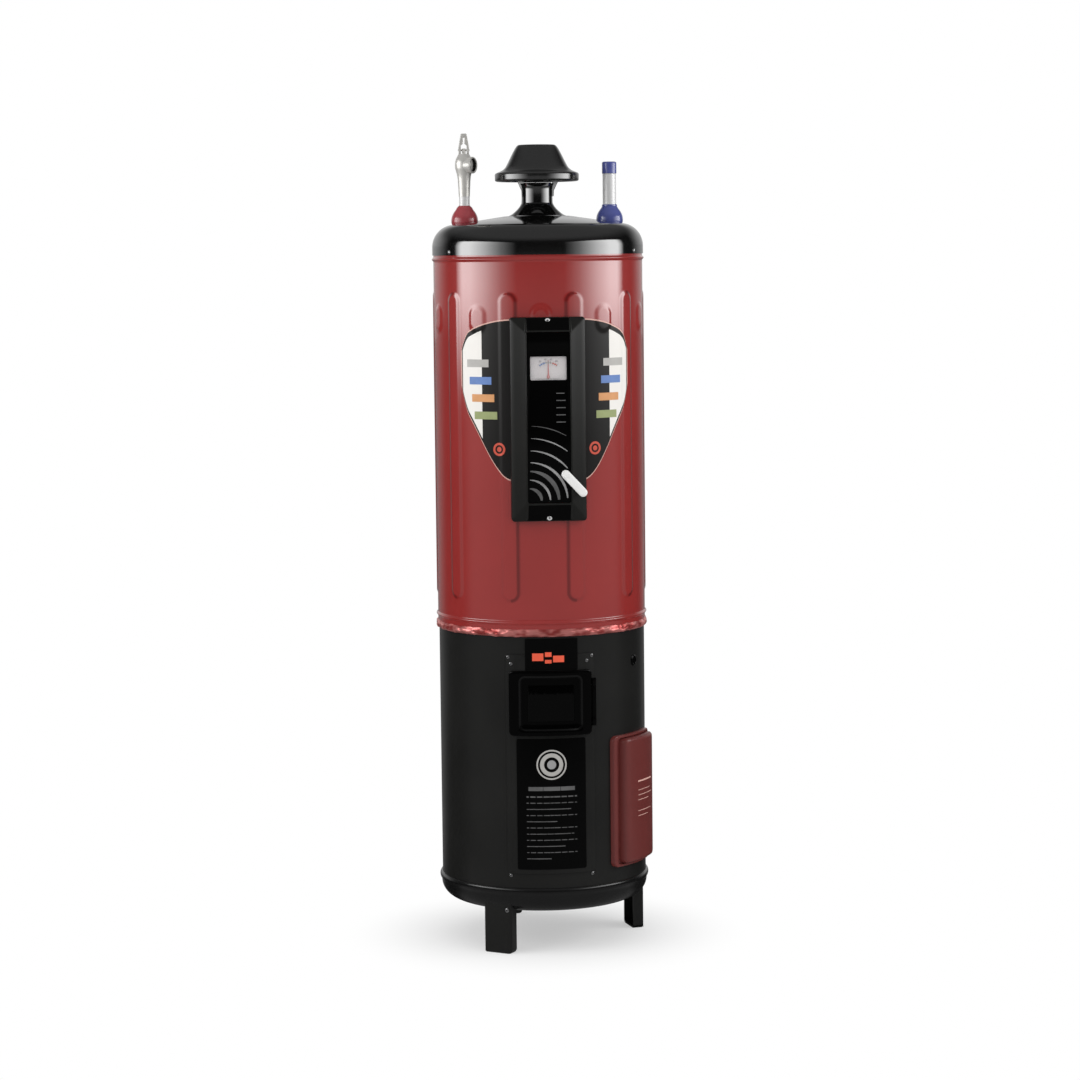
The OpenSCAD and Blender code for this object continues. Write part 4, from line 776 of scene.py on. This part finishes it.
ENDS = (("top", PANEL_TOP, INSERT_TOP + 2), ("bottom", PANEL_LOW, INSERT_LOW - 2))
SIDES = (("left", -1), ("right", 1))
for end, far, near in ENDS:
    piece("panel_end_" + end, patch(
        steps_between(-RIM_W / 2 + 1, RIM_W / 2 - 1, 8), lambda x: 0.05, lambda x: 0.98,
        lambda x, t: (x, -(EDGE_Y + SLOPE * t + 0.12), far + (near - far) * t), 12), "gloss_black_plastic",
        sheet=FRONT)
for side, sign in SIDES:
    for end, far, near in ENDS:
        piece("panel_rib_%s_%s" % (side, end), end_rib(sign * (RIM_W / 2 - 1), far, near), "black_plastic",
              sheet=FRONT)
for side, sign in SIDES:
    piece("panel_bead_" + side, side_bead(sign * (RIM_W / 2 - 0.6)), "black_plastic",
          sheet=FRONT)

# the insert, with an opening for the gauge
face = grown(INSERT_W, INSERT_H, INSERT_Y, [(0, 4, -3), (0, 4, -0.7), (-0.5, 3.8, -0.2), (-1.4, 3.4, 0)])
face += grown(GAUGE_W, GAUGE_H, INSERT_Y, [
    (2.4, 3.0, 0, GAUGE_UP), (0.9, 2.4, -0.5, GAUGE_UP), (0.5, 2.2, -2.9, GAUGE_UP)])
piece("panel_face", loft(face, flat, False, z=INSERT_Z), "gloss_black_plastic", nodes=["panel_insert"])

# a plain frame round the gauge
bezel = grown(GAUGE_W, GAUGE_H, INSERT_Y, [
    (6, 4, 0.02), (5, 4, 0.8), (3, 3.4, 1.0), (1.4, 2.6, 0.5), (1, 2.5, -1)])
piece("gauge_frame", loft(bezel, flat, False, z=GAUGE_Z), "gloss_black_plastic")

# ripples from the lower left corner of the insert: rings cut off at its edges
FACE_W = RIM_W - 4.0
RIPPLE_X, RIPPLE_Z = -FACE_W / 2 + 3, INSERT_LOW + 4
on_face = onto(flat, INSERT_Y + 0.12)


def ripple(r, first, last, thick):
    line = [(RIPPLE_X + p, RIPPLE_Z + q) for p, q in arc(0, 0, r, first, last, 40)]
    return ribbon(line, lambda t: thick * (0.25 + 0.75 * sin(pi * (0.12 + 0.88 * t))), on_face)


for k, (r, first, thick, look) in enumerate((
        (24, 2, 7.0, "print_dim"), (41, 2, 5.0, "print_silver"), (58, 2, 8.5, "print_dim"),
        (75, 4, 5.0, "print_silver"), (98, 40, 3.6, "print_silver"), (122, 52, 2.4, "print_silver"),
        (146, 60, 1.6, "print_dim"))):
    piece("panel_ripple_%d" % (k + 1), ripple(r, first, 88, thick), look, sheet=FRONT)


def bar(name, x0, x1, z, tall, look, place, columns=8, body=ROOT, side=FRONT):
    """A plain printed bar."""
    piece(name, patch(steps_between(x0, x1, columns), lambda u: z - tall / 2, lambda u: z + tall / 2, place),
          look, body=body, sheet=side)


# five plain marks below the gauge, on the right
MARK_TOP, MARK_STEP = GAUGE_Z - GAUGE_H / 2 - 26, 14.0
for k in range(5):
    bar("panel_mark_%d" % (k + 1), FACE_W / 2 - 28, FACE_W / 2 - (10 if k else 12), MARK_TOP - MARK_STEP * k, 1.8,
        "print_dim", on_face, 1)

# gauge: arc scale, ticks and numbers on the dial, under a clear lens
DIAL_Y = front_of("gauge_dial")
PIVOT_Z = GAUGE_Z - 16.5
SWEEP, COOL, WARM = 38.0, -12, 16
SCALE_R, NUMBER_R, NUMBER_SIZE = 27.5, 34.0, 5.0


def swept(r, bearing):
    t = radians(bearing)
    return r * sin(t), PIVOT_Z + r * cos(t)


for k, (first, last, look) in enumerate(((-SWEEP, COOL, "print_blue"), (COOL, WARM, "print_grey"),
                                         (WARM, SWEEP, "print_red"))):
    piece("dial_zone_%d" % (k + 1), ribbon([swept(SCALE_R, b) for b in steps_between(first, last, 12)],
                                           lambda t: 2.6, onto(flat, DIAL_Y + 0.08)), look, sheet=FRONT)
for k, b in enumerate(steps_between(-SWEEP, SWEEP, 8)):
    piece("dial_tick_%d" % (k + 1), ribbon([swept(25.2 if k % 2 else 23.8, b), swept(30.4, b)],
                                           lambda t: 0.6, onto(flat, DIAL_Y + 0.14)), "print_black", sheet=FRONT)
for k, number in enumerate((20, 40, 60, 80)):
    curve = bpy.data.curves.new("dial_number_%d" % number, "FONT")
    curve.body = str(number)
    curve.size = NUMBER_SIZE * MM
    curve.align_x = curve.align_y = "CENTER"
    label = bpy.data.objects.new("dial_number_%d" % number, curve)
    label.data.materials.append(FINISH["print_black"])
    x, z = swept(NUMBER_R, -SWEEP + 2 * SWEEP * (k + 0.5) / 4)
    label.matrix_world = (Matrix.Translation(Vector((x, -(DIAL_Y + 0.12), z)) * MM)
                          @ Matrix.Rotation(pi / 2, 4, "X"))
    bpy.context.scene.collection.objects.link(label)
    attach(label, ROOT)
bar("dial_foot", -22, 22, GAUGE_Z - GAUGE_H / 2 + 1.85, 0.7, "print_dim", onto(flat, DIAL_Y + 0.1), 1)

# white lever, rounded all over
LEVER_AT = Vector((middle("selector_pivot").x, 0, middle("selector_pivot").z))
LEVER_Y = -span("selector_lever")[1].y
LEVER_T = front_of("selector_lever") - LEVER_Y
LEVER_W, LEVER_LEN, LEVER_LEAN = 17.0, 49.0, 47.0
lever = grown(LEVER_LEN + LEVER_W, LEVER_W, LEVER_Y, [(-2 * d, LEVER_W / 2 - d, more) for d, more in (
    (0.6, 0.0), (0.1, 0.5), (0.0, 1.6), (0.0, LEVER_T - 4.2), (0.5, LEVER_T - 2.4), (1.5, LEVER_T - 1.1),
    (3.2, LEVER_T - 0.3), (5.2, LEVER_T))])
piece("lever_selector", moved(loft(lever, flat, x=LEVER_LEN / 2), Matrix.Translation(LEVER_AT)
                              @ Matrix.Rotation(radians(LEVER_LEAN), 4, "Y")), "white_plastic",
      body="selector_lever", nodes=["selector_lever"])

# ---- screws

def screw(name, at, way, r, look="zinc_steel", nodes=()):
    """A domed head with a cross slot, drawn as a black cross that paints the slot's shade."""
    stand = facing(way, Vector(at))
    h = r * 0.55
    head = rounded([(0.02, 0), (r, 0), (r, h * 0.35, h * 0.2), (r * 0.62, h * 0.9, r * 0.5), (0.02, h)])
    piece(name, moved(lathe(head, turns=28), stand), look, nodes=nodes)
    # the slot is a black cross set into the head: painted shade, not a cut
    cut = loft([(r * 1.1, r * 0.24, r * 0.05, -h * depth) for depth in (0.5, 0.99)], flat, across=2)
    cross = joined(cut, moved(cut, Matrix.Rotation(pi / 2, 4, "Y")))
    piece(name + "_slot", moved(cross, stand @ Matrix.Rotation(pi / 2, 4, "X")), "shade_black")


def screws(name, places, r, look="zinc_steel", nodes=()):
    """Screws at (point, outward way) places; the first stands for the CAD nodes."""
    for k, (at, way) in enumerate(places):
        screw("%s_%d" % (name, k + 1), at, way, r, look, nodes if k == 0 else ())


SCREW_R, PANEL_SCREW_R, FRONT_SCREW_R = 4.5, 5.0, 3.4
COVER_SCREW_Z, LEG_SCREW_Z = middle("cover_screws").z, middle("leg_screws").z
LEG_SCREW_X = LEG_W / 2 - 9
screws("cover_screw", [(point(b, CAP_R - 0.3, COVER_SCREW_Z), radial(b)) for b in (-60, 60, 180)], SCREW_R,
       nodes=["cover_screws"])
screws("leg_screw", [(point(b, LEG_FACE, LEG_SCREW_Z) + radial(b + 90) * LEG_SCREW_X, radial(b))
                     for b in LEG_BEARINGS], SCREW_R, nodes=["leg_screws"])
screws("panel_screw", [((0, -(EDGE_Y + 2.0), z), FRONT) for z in (PANEL_LOW + 7, PANEL_TOP - 7)], PANEL_SCREW_R,
       "galvanised", nodes=["panel_screws"])

# ---- burner door

DOOR_Z = middle("burner_door").z
DOOR_LOW, DOOR_TOP = heights("burner_door")
DOOR_W, DOOR_H = 164.0, DOOR_TOP - DOOR_LOW
DOOR_T = 5.0
DOOR_OUT = LOWER_R + 3.35 + DOOR_T
WINDOW_W, WINDOW_H = 122.0, 105.0
GLASS_W, GLASS_H = 92.0, 72.0
DOOR_PIN = Vector((86.8, -197.174, DOOR_Z))
HINGE_REACH = 7.0


def hinge_side(pin, reach, length, r=4.2, r_pin=1.6, half=1.6):
    """The knuckle about a hinge pin, with the leaf that joins it to its cover."""
    end = length / 2
    knuckle = lathe(rounded([(r_pin, -end), (r, -end, 0.5), (r, end, 0.5), (r_pin, end)]), pin.x, pin.y, turns=28)
    leaf = loft([(reach, length, 0.6, out) for out in (-half, half)], flat, x=-reach / 2, across=4)
    return joined(moved(knuckle, Matrix.Translation((0, 0, pin.z))), moved(leaf, Matrix.Translation(pin)))


door = grown(DOOR_W, DOOR_H, DOOR_OUT, [
    (0, 8, -DOOR_T), (0, 8, -2.4), (-0.8, 7.8, -1.2), (-2.4, 7.4, -0.4), (-5, 7, 0)])
door += grown(WINDOW_W, WINDOW_H, DOOR_OUT, [(5, 12.5, 0), (-6, 7, -2.1)])
door += grown(GLASS_W, GLASS_H, DOOR_OUT, [(2, 4.5, -2.1), (0.6, 4.2, -2.6), (0.4, 4.2, -DOOR_T)])
piece("door_frame", joined(loft(door + door[:1], bent, False, z=DOOR_Z), hinge_side(DOOR_PIN, HINGE_REACH, 62)),
      "door_black", body="burner_door", nodes=["burner_door"], sharp=30)

# the rolled edge of the door's recess
roll = grown(WINDOW_W, WINDOW_H, DOOR_OUT, [
    (5, 12.5, 0.03), (3.4, 11.7, -0.06), (1, 10.5, -0.5), (-2, 9, -1.3), (-4.4, 7.8, -1.9), (-6, 7, -2.06)])
piece("door_rim", loft(roll, bent, False, z=DOOR_Z), "rim_black", body="burner_door",
      sheet=FRONT)

# ---- prints and fittings on the lower jacket

PLATE_R, PLATE_TOP = front_of("instruction_plate"), heights("instruction_plate")[1]
on_plate = onto(bent, PLATE_R + 0.10)
RING_Z, HEAD_Z, LINES_Z, LINE_STEP = PLATE_TOP - 52, PLATE_TOP - 100, PLATE_TOP - 116, 12.4
for k, (r, inner, look) in enumerate(((30, 27, "print_grey"), (23, 15, "print_grey"), (9, 0.01, "print_silver"))):
    piece("plate_ring_%d" % (k + 1), disc(0, RING_Z, r, on_plate, inner), look, sheet=FRONT)
bar("plate_head", -46, 46, HEAD_Z, 8.0, "print_dim", on_plate)
for k, half in enumerate((50, 50, 44, 50, 30, 50, 47, 50, 38, 50, 24)):
    bar("plate_line_%d" % (k + 1), -50, -50 + 2 * half, LINES_Z - LINE_STEP * k, 1.5 if k else 2.6, "print_dim",
        on_plate)

# a dark label above the door, with plain blocks
LABEL_R = PLATE_R + 0.3
LABEL_LOW, LABEL_TOP = DOOR_Z + DOOR_H / 2 + 1.0, TRIM_LOW - 3.0
bar("label_field", -50, 54, (LABEL_LOW + LABEL_TOP) / 2, LABEL_TOP - LABEL_LOW, "plate_black",
    onto(bent, LABEL_R), 16)
for k, (x0, x1, z, tall) in enumerate(((-36, -14, 598, 15), (-11, 2, 603, 9), (5, 27, 594, 13), (-11, 2, 589, 7))):
    bar("label_block_%d" % (k + 1), x0, x1, z, tall, "print_vermilion", onto(bent, LABEL_R + 0.12))

# screws at the corners of the front panel, over the door and on the jacket below
FRONT_R, FRONT_TOP = front_of("front_panel") - 0.1, heights("front_panel")[1]
LOW_SCREW_Z = 160.0
screws("front_screw", [(point(b, out, z), radial(b)) for b, out, z in (
    (-23.2, FRONT_R, FRONT_TOP - 4.5), (23.2, FRONT_R, FRONT_TOP - 4.5), (-23.0, LOWER_R, LOW_SCREW_Z),
    (23.0, LOWER_R, LOW_SCREW_Z), (-21.6, FRONT_R, FRONT_TOP - 18), (20.2, FRONT_R, FRONT_TOP - 14))],
    FRONT_SCREW_R)

# plug in the side of the lower jacket
BUNG_BEARING, BUNG_Z = 57, 575
bung = rounded([(0.02, -0.4), (11.0, -0.4), (11.0, 0.8, 0.6), (8.4, 2.6, 1.6), (7.0, 1.8, 1.0), (0.02, 1.8)])
bung_at = facing(radial(BUNG_BEARING), point(BUNG_BEARING, LOWER_R, BUNG_Z))
piece("jacket_plug", moved(lathe(bung, turns=40), bung_at), "gloss_black_plastic")

# ---- red control cover

COVER_BEARING = 55.0
COVER_WAY = radial(COVER_BEARING)
COVER_Z = middle("control_cover").z
COVER_LOW, COVER_TOP = heights("control_cover")
COVER_W, COVER_H = 142.0, COVER_TOP - COVER_LOW
COVER_OUT = LOWER_R + 21.0
COVER_PIN = Vector((75.8, -202.797, COVER_Z))
FLANGE_T, GROOVE_DEEP = 8.5, 6.0
FLANGE = LOWER_R + 0.8 + FLANGE_T
cover = grown(COVER_W, COVER_H, FLANGE, [
    (0, 12, -FLANGE_T), (0, 12, -2.2), (-0.8, 11.6, -0.9), (-2.6, 11, -0.1), (-4, 10.4, 0)])
cover += grown(COVER_W - 11, COVER_H - 9, FLANGE, [
    (0, 9, 0, 0, 3), (-1, 9, -0.5, 0, 3), (-1.6, 9, -GROOVE_DEEP, 0, 3)])
cover += grown(COVER_W - 25, COVER_H - 13, FLANGE, [
    (1, 9, -GROOVE_DEEP, 0, 8), (0.4, 9, 1 - GROOVE_DEEP, 0, 8), (0, 9, 3, 0, 8)])
cover += grown(COVER_W - 25, COVER_H - 13, COVER_OUT, [(-2 * d, max(9 - d / 2, 4), -back, 0, 8) for d, back in (
    (0.3, 5.4), (1.4, 3.0), (3.4, 1.3), (6.5, 0.4), (11.0, 0.0))])
piece("cover_control", at_bearing(joined(loft(cover, bent, z=COVER_Z), hinge_side(COVER_PIN, HINGE_REACH, 120)),
                                  COVER_BEARING),
      "cover_red", body="control_cover", nodes=["control_cover"], sharp=30)
for k, (wide, tall, up) in enumerate(((60, 3.0, 36), (52, 1.2, 18), (60, 1.2, 8), (44, 1.2, -2), (56, 1.2, -24),
                                      (40, 1.2, -34))):
    bar("cover_line_%d" % (k + 1), -14, -14 + wide, COVER_Z + up, tall, "print_cream",
        onto(bent, COVER_OUT + 0.10, COVER_BEARING), body="control_cover", side=COVER_WAY)

# marks on the gas valve behind the cover: a scale round the dial, a ring round the button and a few lines
DIAL_X, DIAL_Z, DIAL_OUT, VALVE_OUT = -12.0, middle("thermostat_dial").z, 220.8, 205.8
BUTTON_X, VALVE_LINE_X, VALVE_LINE_Z = 26, -36, 276
on_valve = onto(flat, VALVE_OUT + 0.08, COVER_BEARING)
bar("dial_mark", DIAL_X - 1.3, DIAL_X + 1.3, DIAL_Z + 11.25, 10.5, "print_white",
    onto(flat, DIAL_OUT + 0.08, COVER_BEARING), 2, "thermostat_dial", COVER_WAY)
for k in range(10):
    t = radians(-135 + 30 * k)
    tick = [(DIAL_X + r * sin(t), DIAL_Z + r * cos(t)) for r in (23.6, 25.6, 27.6)]
    piece("valve_tick_%d" % (k + 1), ribbon(tick, lambda s: 1.5, on_valve), "print_white", sheet=COVER_WAY)
piece("button_ring", disc(BUTTON_X, middle("pilot_button").z, 11.0, on_valve, 9.4), "print_white", sheet=COVER_WAY)
for k, wide in enumerate((30, 24, 27)):
    bar("valve_line_%d" % (k + 1), VALVE_LINE_X, VALVE_LINE_X + wide, VALVE_LINE_Z - 7 * k, 1.4, "print_white",
        on_valve, side=COVER_WAY)

# lap seam down the back of the lower jacket, with its rivets
BACK = 180
SEAM_W, SEAM_H = 18.0, TRIM_LOW - RIM_Z - 6
seam = [(SEAM_W, SEAM_H, 0.6, LOWER_R - 0.2), (SEAM_W, SEAM_H, 0.6, LOWER_R + 0.6),
        (SEAM_W - 1.2, SEAM_H - 1, 0.6, LOWER_R + 0.9)]
piece("jacket_seam", at_bearing(loft(seam, bent, z=(TRIM_LOW + RIM_Z) / 2 + 2, across=8), BACK), "black_enamel")
rivet = lathe(rounded([(0.02, 0), (3.6, 0), (3.2, 1.2, 0.8), (0.02, 1.9, 1.0)]), turns=24)
for k, z in enumerate(steps_between(RIM_Z + 30, TRIM_LOW - 30, 5)):
    rivet_at = facing(radial(BACK), point(BACK, LOWER_R + 0.7, z))
    piece("seam_rivet_%d" % (k + 1), moved(rivet, rivet_at), "black_enamel")

# ---- print on the jacket around the panel

FIELD_IN, FIELD_OUT, FIELD_MID, PALE_IN, RING_BEARING = 19.0, 51.0, 35, 36.5, 26.5
FIELD_TOP, FIELD_LOW = PANEL_TOP - 4, PANEL_LOW + 78
BAR_LOW, BAR_STEP, BAR_HALF, RING_UP = FIELD_LOW + 128, 34, 7.5, 62
PER_MM = degrees(1 / JACKET_R)


def field_top(b):
    t = (abs(b) - FIELD_IN) / (FIELD_OUT - FIELD_IN)
    return FIELD_TOP - 34 * t * t - 30 * max(0, (t - 0.8) / 0.2) ** 2


def field_low(b):
    t = (abs(b) - FIELD_IN) / (FIELD_OUT - FIELD_IN)
    return FIELD_LOW + 150 * ease(t * 0.9) + 40 * max(0, (t - 0.8) / 0.2) ** 2


def wing(name, sign, first, last, columns, low, high, lift, rows, look):
    """A print beside the panel, between two bearings on the side that sign names."""
    across = [sign * b for b in steps_between(first, last, columns)]
    piece("sticker_" + name, patch(across, low, high, on_jacket(lift), rows), look, sheet=radial(FIELD_MID * sign))


for side, sign in SIDES:
    wing("edge_" + side, sign, FIELD_IN, FIELD_OUT, 100, field_low, field_top, 0.45, 90, "print_cream")
    wing("field_" + side, sign, FIELD_IN, FIELD_OUT - 0.7, 100, lambda b: field_low(b) + 2.6,
         lambda b: field_top(b) - 2.6, 0.75, 90, "print_black")
    wing("pale_" + side, sign, PALE_IN, FIELD_OUT - 1.4, 30, lambda b: field_low(b) + 9,
         lambda b: field_top(b) - 12, 1.0, 60, "print_white")
    for k, look in enumerate(("print_green", "print_orange", "print_blue", "print_grey")):
        z = BAR_LOW + BAR_STEP * k
        wing("bar_%s_%d" % (side, k + 1), sign, 27.5 + 1.6 * k, 41.5 + 1.6 * k, 24, lambda b: z - BAR_HALF,
             lambda b: z + BAR_HALF, 1.2, 8, look)
    for k, (r, inner) in enumerate(((13, 8.5), (5, 0.01))):
        piece("sticker_ring_%s_%d" % (side, k + 1),
              disc(sign * RING_BEARING, FIELD_LOW + RING_UP, r, on_jacket(1.2), inner, PER_MM), "print_red",
              sheet=radial(FIELD_MID * sign))

# ---- floor, light and camera

scene = bpy.context.scene
scene.view_settings.view_transform = "Standard"
VIEW = -4.5                 # bearing of the camera


class Graph:
    """The shader nodes of a material, world or lamp, with short calls for sums."""

    def __init__(self, owner):
        owner.use_nodes = True
        self.nodes, self.link = owner.node_tree.nodes, owner.node_tree.links.new

    def maths(self, operation, a, b):
        n = self.nodes.new("ShaderNodeMath")
        n.operation = operation
        for socket, value in zip(n.inputs, (a, b)):
            if isinstance(value, (int, float)):
                socket.default_value = value
            else:
                self.link(value, socket)
        return n.outputs["Value"]

    def between(self, value, start, end, low, high):
        """A smooth step of a value, from low at start to high at end."""
        n = self.nodes.new("ShaderNodeMapRange")
        n.interpolation_type = "SMOOTHSTEP"
        for socket, number in zip(("From Min", "From Max", "To Min", "To Max"), (start, end, low, high)):
            n.inputs[socket].default_value = number
        self.link(value, n.inputs["Value"])
        return n.outputs["Result"]

    def axes(self, vector):
        split = self.nodes.new("ShaderNodeSeparateXYZ")
        self.link(vector, split.inputs["Vector"])
        return split.outputs

    def rays(self):
        """1 for rays from the camera, and 1 for rays in a reflection or through glass."""
        path = self.nodes.new("ShaderNodeLightPath").outputs
        return path["Is Camera Ray"], self.maths("MAXIMUM", path["Is Glossy Ray"], path["Is Transmission Ray"])


# a pale floor, white away from the object; reflections find it dim, and darkest at the sides
FLOOR_HALF = 40
FLOOR_NEAR, FLOOR_FAR, FLOOR_WHITE = 0.14, 0.42, 0.45
FLOOR_FRONT, FLOOR_SIDE, FLOOR_BACK = 0.18, 0.02, 0.20
floor_mesh = bpy.data.meshes.new("floor")
floor_mesh.from_pydata([(x * FLOOR_HALF, y * FLOOR_HALF, 0) for x, y in ((-1, -1), (1, -1), (1, 1), (-1, 1))], [],
                       [(0, 1, 2, 3)])
floor = bpy.data.objects.new("floor", floor_mesh)
scene.collection.objects.link(floor)
paper = bpy.data.materials.new("floor_paper")
g = Graph(paper)
g.nodes.clear()
result = g.nodes.new("ShaderNodeOutputMaterial")
matt = g.nodes.new("ShaderNodeBsdfDiffuse")
matt.inputs["Color"].default_value = (0.93, 0.93, 0.93, 1)
white = g.nodes.new("ShaderNodeEmission")
mix = g.nodes.new("ShaderNodeMixShader")
camera_ray, other_ray = g.rays()
where = g.nodes.new("ShaderNodeTexCoord").outputs["Object"]
length = g.nodes.new("ShaderNodeVectorMath")
length.operation = "LENGTH"
g.link(where, length.inputs[0])
away = length.outputs["Value"]
far = g.maths("MULTIPLY", camera_ray, g.between(away, FLOOR_NEAR, FLOOR_FAR, FLOOR_WHITE, 1))
toward = g.maths("DIVIDE", g.axes(where)["Y"], away)
level = g.maths("ADD", g.between(toward, -0.15, 0.20, FLOOR_FRONT, FLOOR_SIDE),
                g.between(toward, 0.62, 0.95, 0, FLOOR_BACK))
behind = g.maths("MULTIPLY", other_ray, level)
g.link(g.maths("MAXIMUM", far, other_ray), mix.inputs["Fac"])
g.link(g.maths("MAXIMUM", camera_ray, behind), white.inputs["Strength"])
g.link(matt.outputs["BSDF"], mix.inputs[1])
g.link(white.outputs["Emission"], mix.inputs[2])
g.link(mix.outputs["Shader"], result.inputs["Surface"])
floor_mesh.materials.append(paper)

# a pale backdrop behind, brightest a little above the floor, a dark room in front, and light from all round
FILL_FRONT, FILL_BACK = 0.82, 0.54
ROOM, BACKDROP, OVERHEAD, AHEAD = 0.012, 0.70, 0.15, 0.14
world = bpy.data.worlds.new("studio")
scene.world = world
g = Graph(world)
camera_ray, other_ray = g.rays()
way = g.axes(g.nodes.new("ShaderNodeTexCoord").outputs["Generated"])
back = g.between(way["Y"], 0.45, 0.92, 0, 1)
low = g.between(way["Z"], -0.10, 0.06, 0.22 * BACKDROP, BACKDROP)
high = g.between(way["Z"], 0.18, 0.50, 1, 0.15)
above = g.between(way["Z"], 0.35, 0.75, ROOM, OVERHEAD)
ahead = g.maths("MULTIPLY", g.between(way["Y"], -0.15, 0.20, AHEAD, 0), g.between(way["Z"], -0.014, 0.0, 1, 0))
glow = g.maths("ADD", g.maths("MULTIPLY", g.maths("MULTIPLY", back, low), high), g.maths("ADD", above, ahead))
fill = g.between(way["Y"], -0.8, 0.8, FILL_FRONT, FILL_BACK)
dim = g.maths("MULTIPLY", g.maths("SUBTRACT", 1.0, other_ray), fill)
lit = g.maths("ADD", g.maths("MULTIPLY", other_ray, glow), dim)
g.link(g.maths("MAXIMUM", camera_ray, lit), g.nodes["Background"].inputs["Strength"])
g.nodes["Background"].inputs["Color"].default_value = (1, 1, 1, 1)


def softbox(name, bearing, wide, low, high, distance, radiance, levels):
    """A tall lamp that faces the axis of the body, graded across by levels, (place, brightness) pairs in order,
    and fading out at its foot."""
    lamp = bpy.data.lights.new(name, "AREA")
    lamp.shape = "RECTANGLE"
    lamp.size, lamp.size_y = wide, high - low
    lamp.energy = radiance * pi * lamp.size * lamp.size_y
    g = Graph(lamp)
    across = g.axes(g.nodes.new("ShaderNodeNewGeometry").outputs["Parametric"])
    ramp = g.nodes.new("ShaderNodeValToRGB")
    for place, level in levels[1:-1]:
        ramp.color_ramp.elements.new(place)
    for stop, (place, level) in zip(ramp.color_ramp.elements, levels):
        stop.color = (level, level, level, 1)
    g.link(across["X"], ramp.inputs["Fac"])
    foot = g.between(across["Y"], 0.0, 0.30, 0, 1)
    g.link(g.maths("MULTIPLY", ramp.outputs["Color"], foot), g.nodes["Emission"].inputs["Strength"])
    obj = bpy.data.objects.new(name, lamp)
    way = radial(bearing)
    obj.matrix_world = Matrix.Translation(point(bearing, distance, (low + high) / 2)) @ (
        Matrix(((-way.y, 0, way.x), (way.x, 0, way.y), (0, 1, 0))).to_4x4())
    obj.visible_camera = False
    scene.collection.objects.link(obj)


# from the edge towards the front (0) to the edge towards the back (1)
GRADED = ((0.0, 0.0), (0.12, 0.06), (0.24, 0.16), (0.36, 0.36), (0.48, 0.62), (0.68, 1.0), (0.84, 1.0), (1.0, 0.0))
KEY = dict(wide=3.4, low=0.95, high=2.25, distance=2.2, radiance=3.9)
softbox("key_left", VIEW - 60.5, levels=[(1 - place, level) for place, level in reversed(GRADED)], **KEY)
softbox("key_right", VIEW + 66, levels=GRADED, **KEY)

# the camera: focal length in pixels of the picture, metres, and degrees
PICTURE, SENSOR = 1080, 36.0
FOCAL, DISTANCE, EYE, DOWN, ROLL_LEFT, AIM = 2970.0, 6.0, 1.392, 5.55, 0.63, 4.485
lens = bpy.data.cameras.new("camera")
camera = bpy.data.objects.new("camera", lens)
scene.collection.objects.link(camera)
scene.camera = camera
lens.sensor_width, lens.lens = SENSOR, FOCAL / PICTURE * SENSOR
p, a, roll = radians(DOWN), radians(AIM), radians(ROLL_LEFT)
ahead = Vector((cos(p) * sin(a), cos(p) * cos(a), -sin(p)))
right = Vector((cos(a), -sin(a), 0))
up = right.cross(ahead)
right, up = right * cos(roll) - up * sin(roll), up * cos(roll) + right * sin(roll)
camera.matrix_world = Matrix.Translation(point(VIEW, DISTANCE, EYE)) @ Matrix(
    (right, up, -ahead)).transposed().to_4x4()
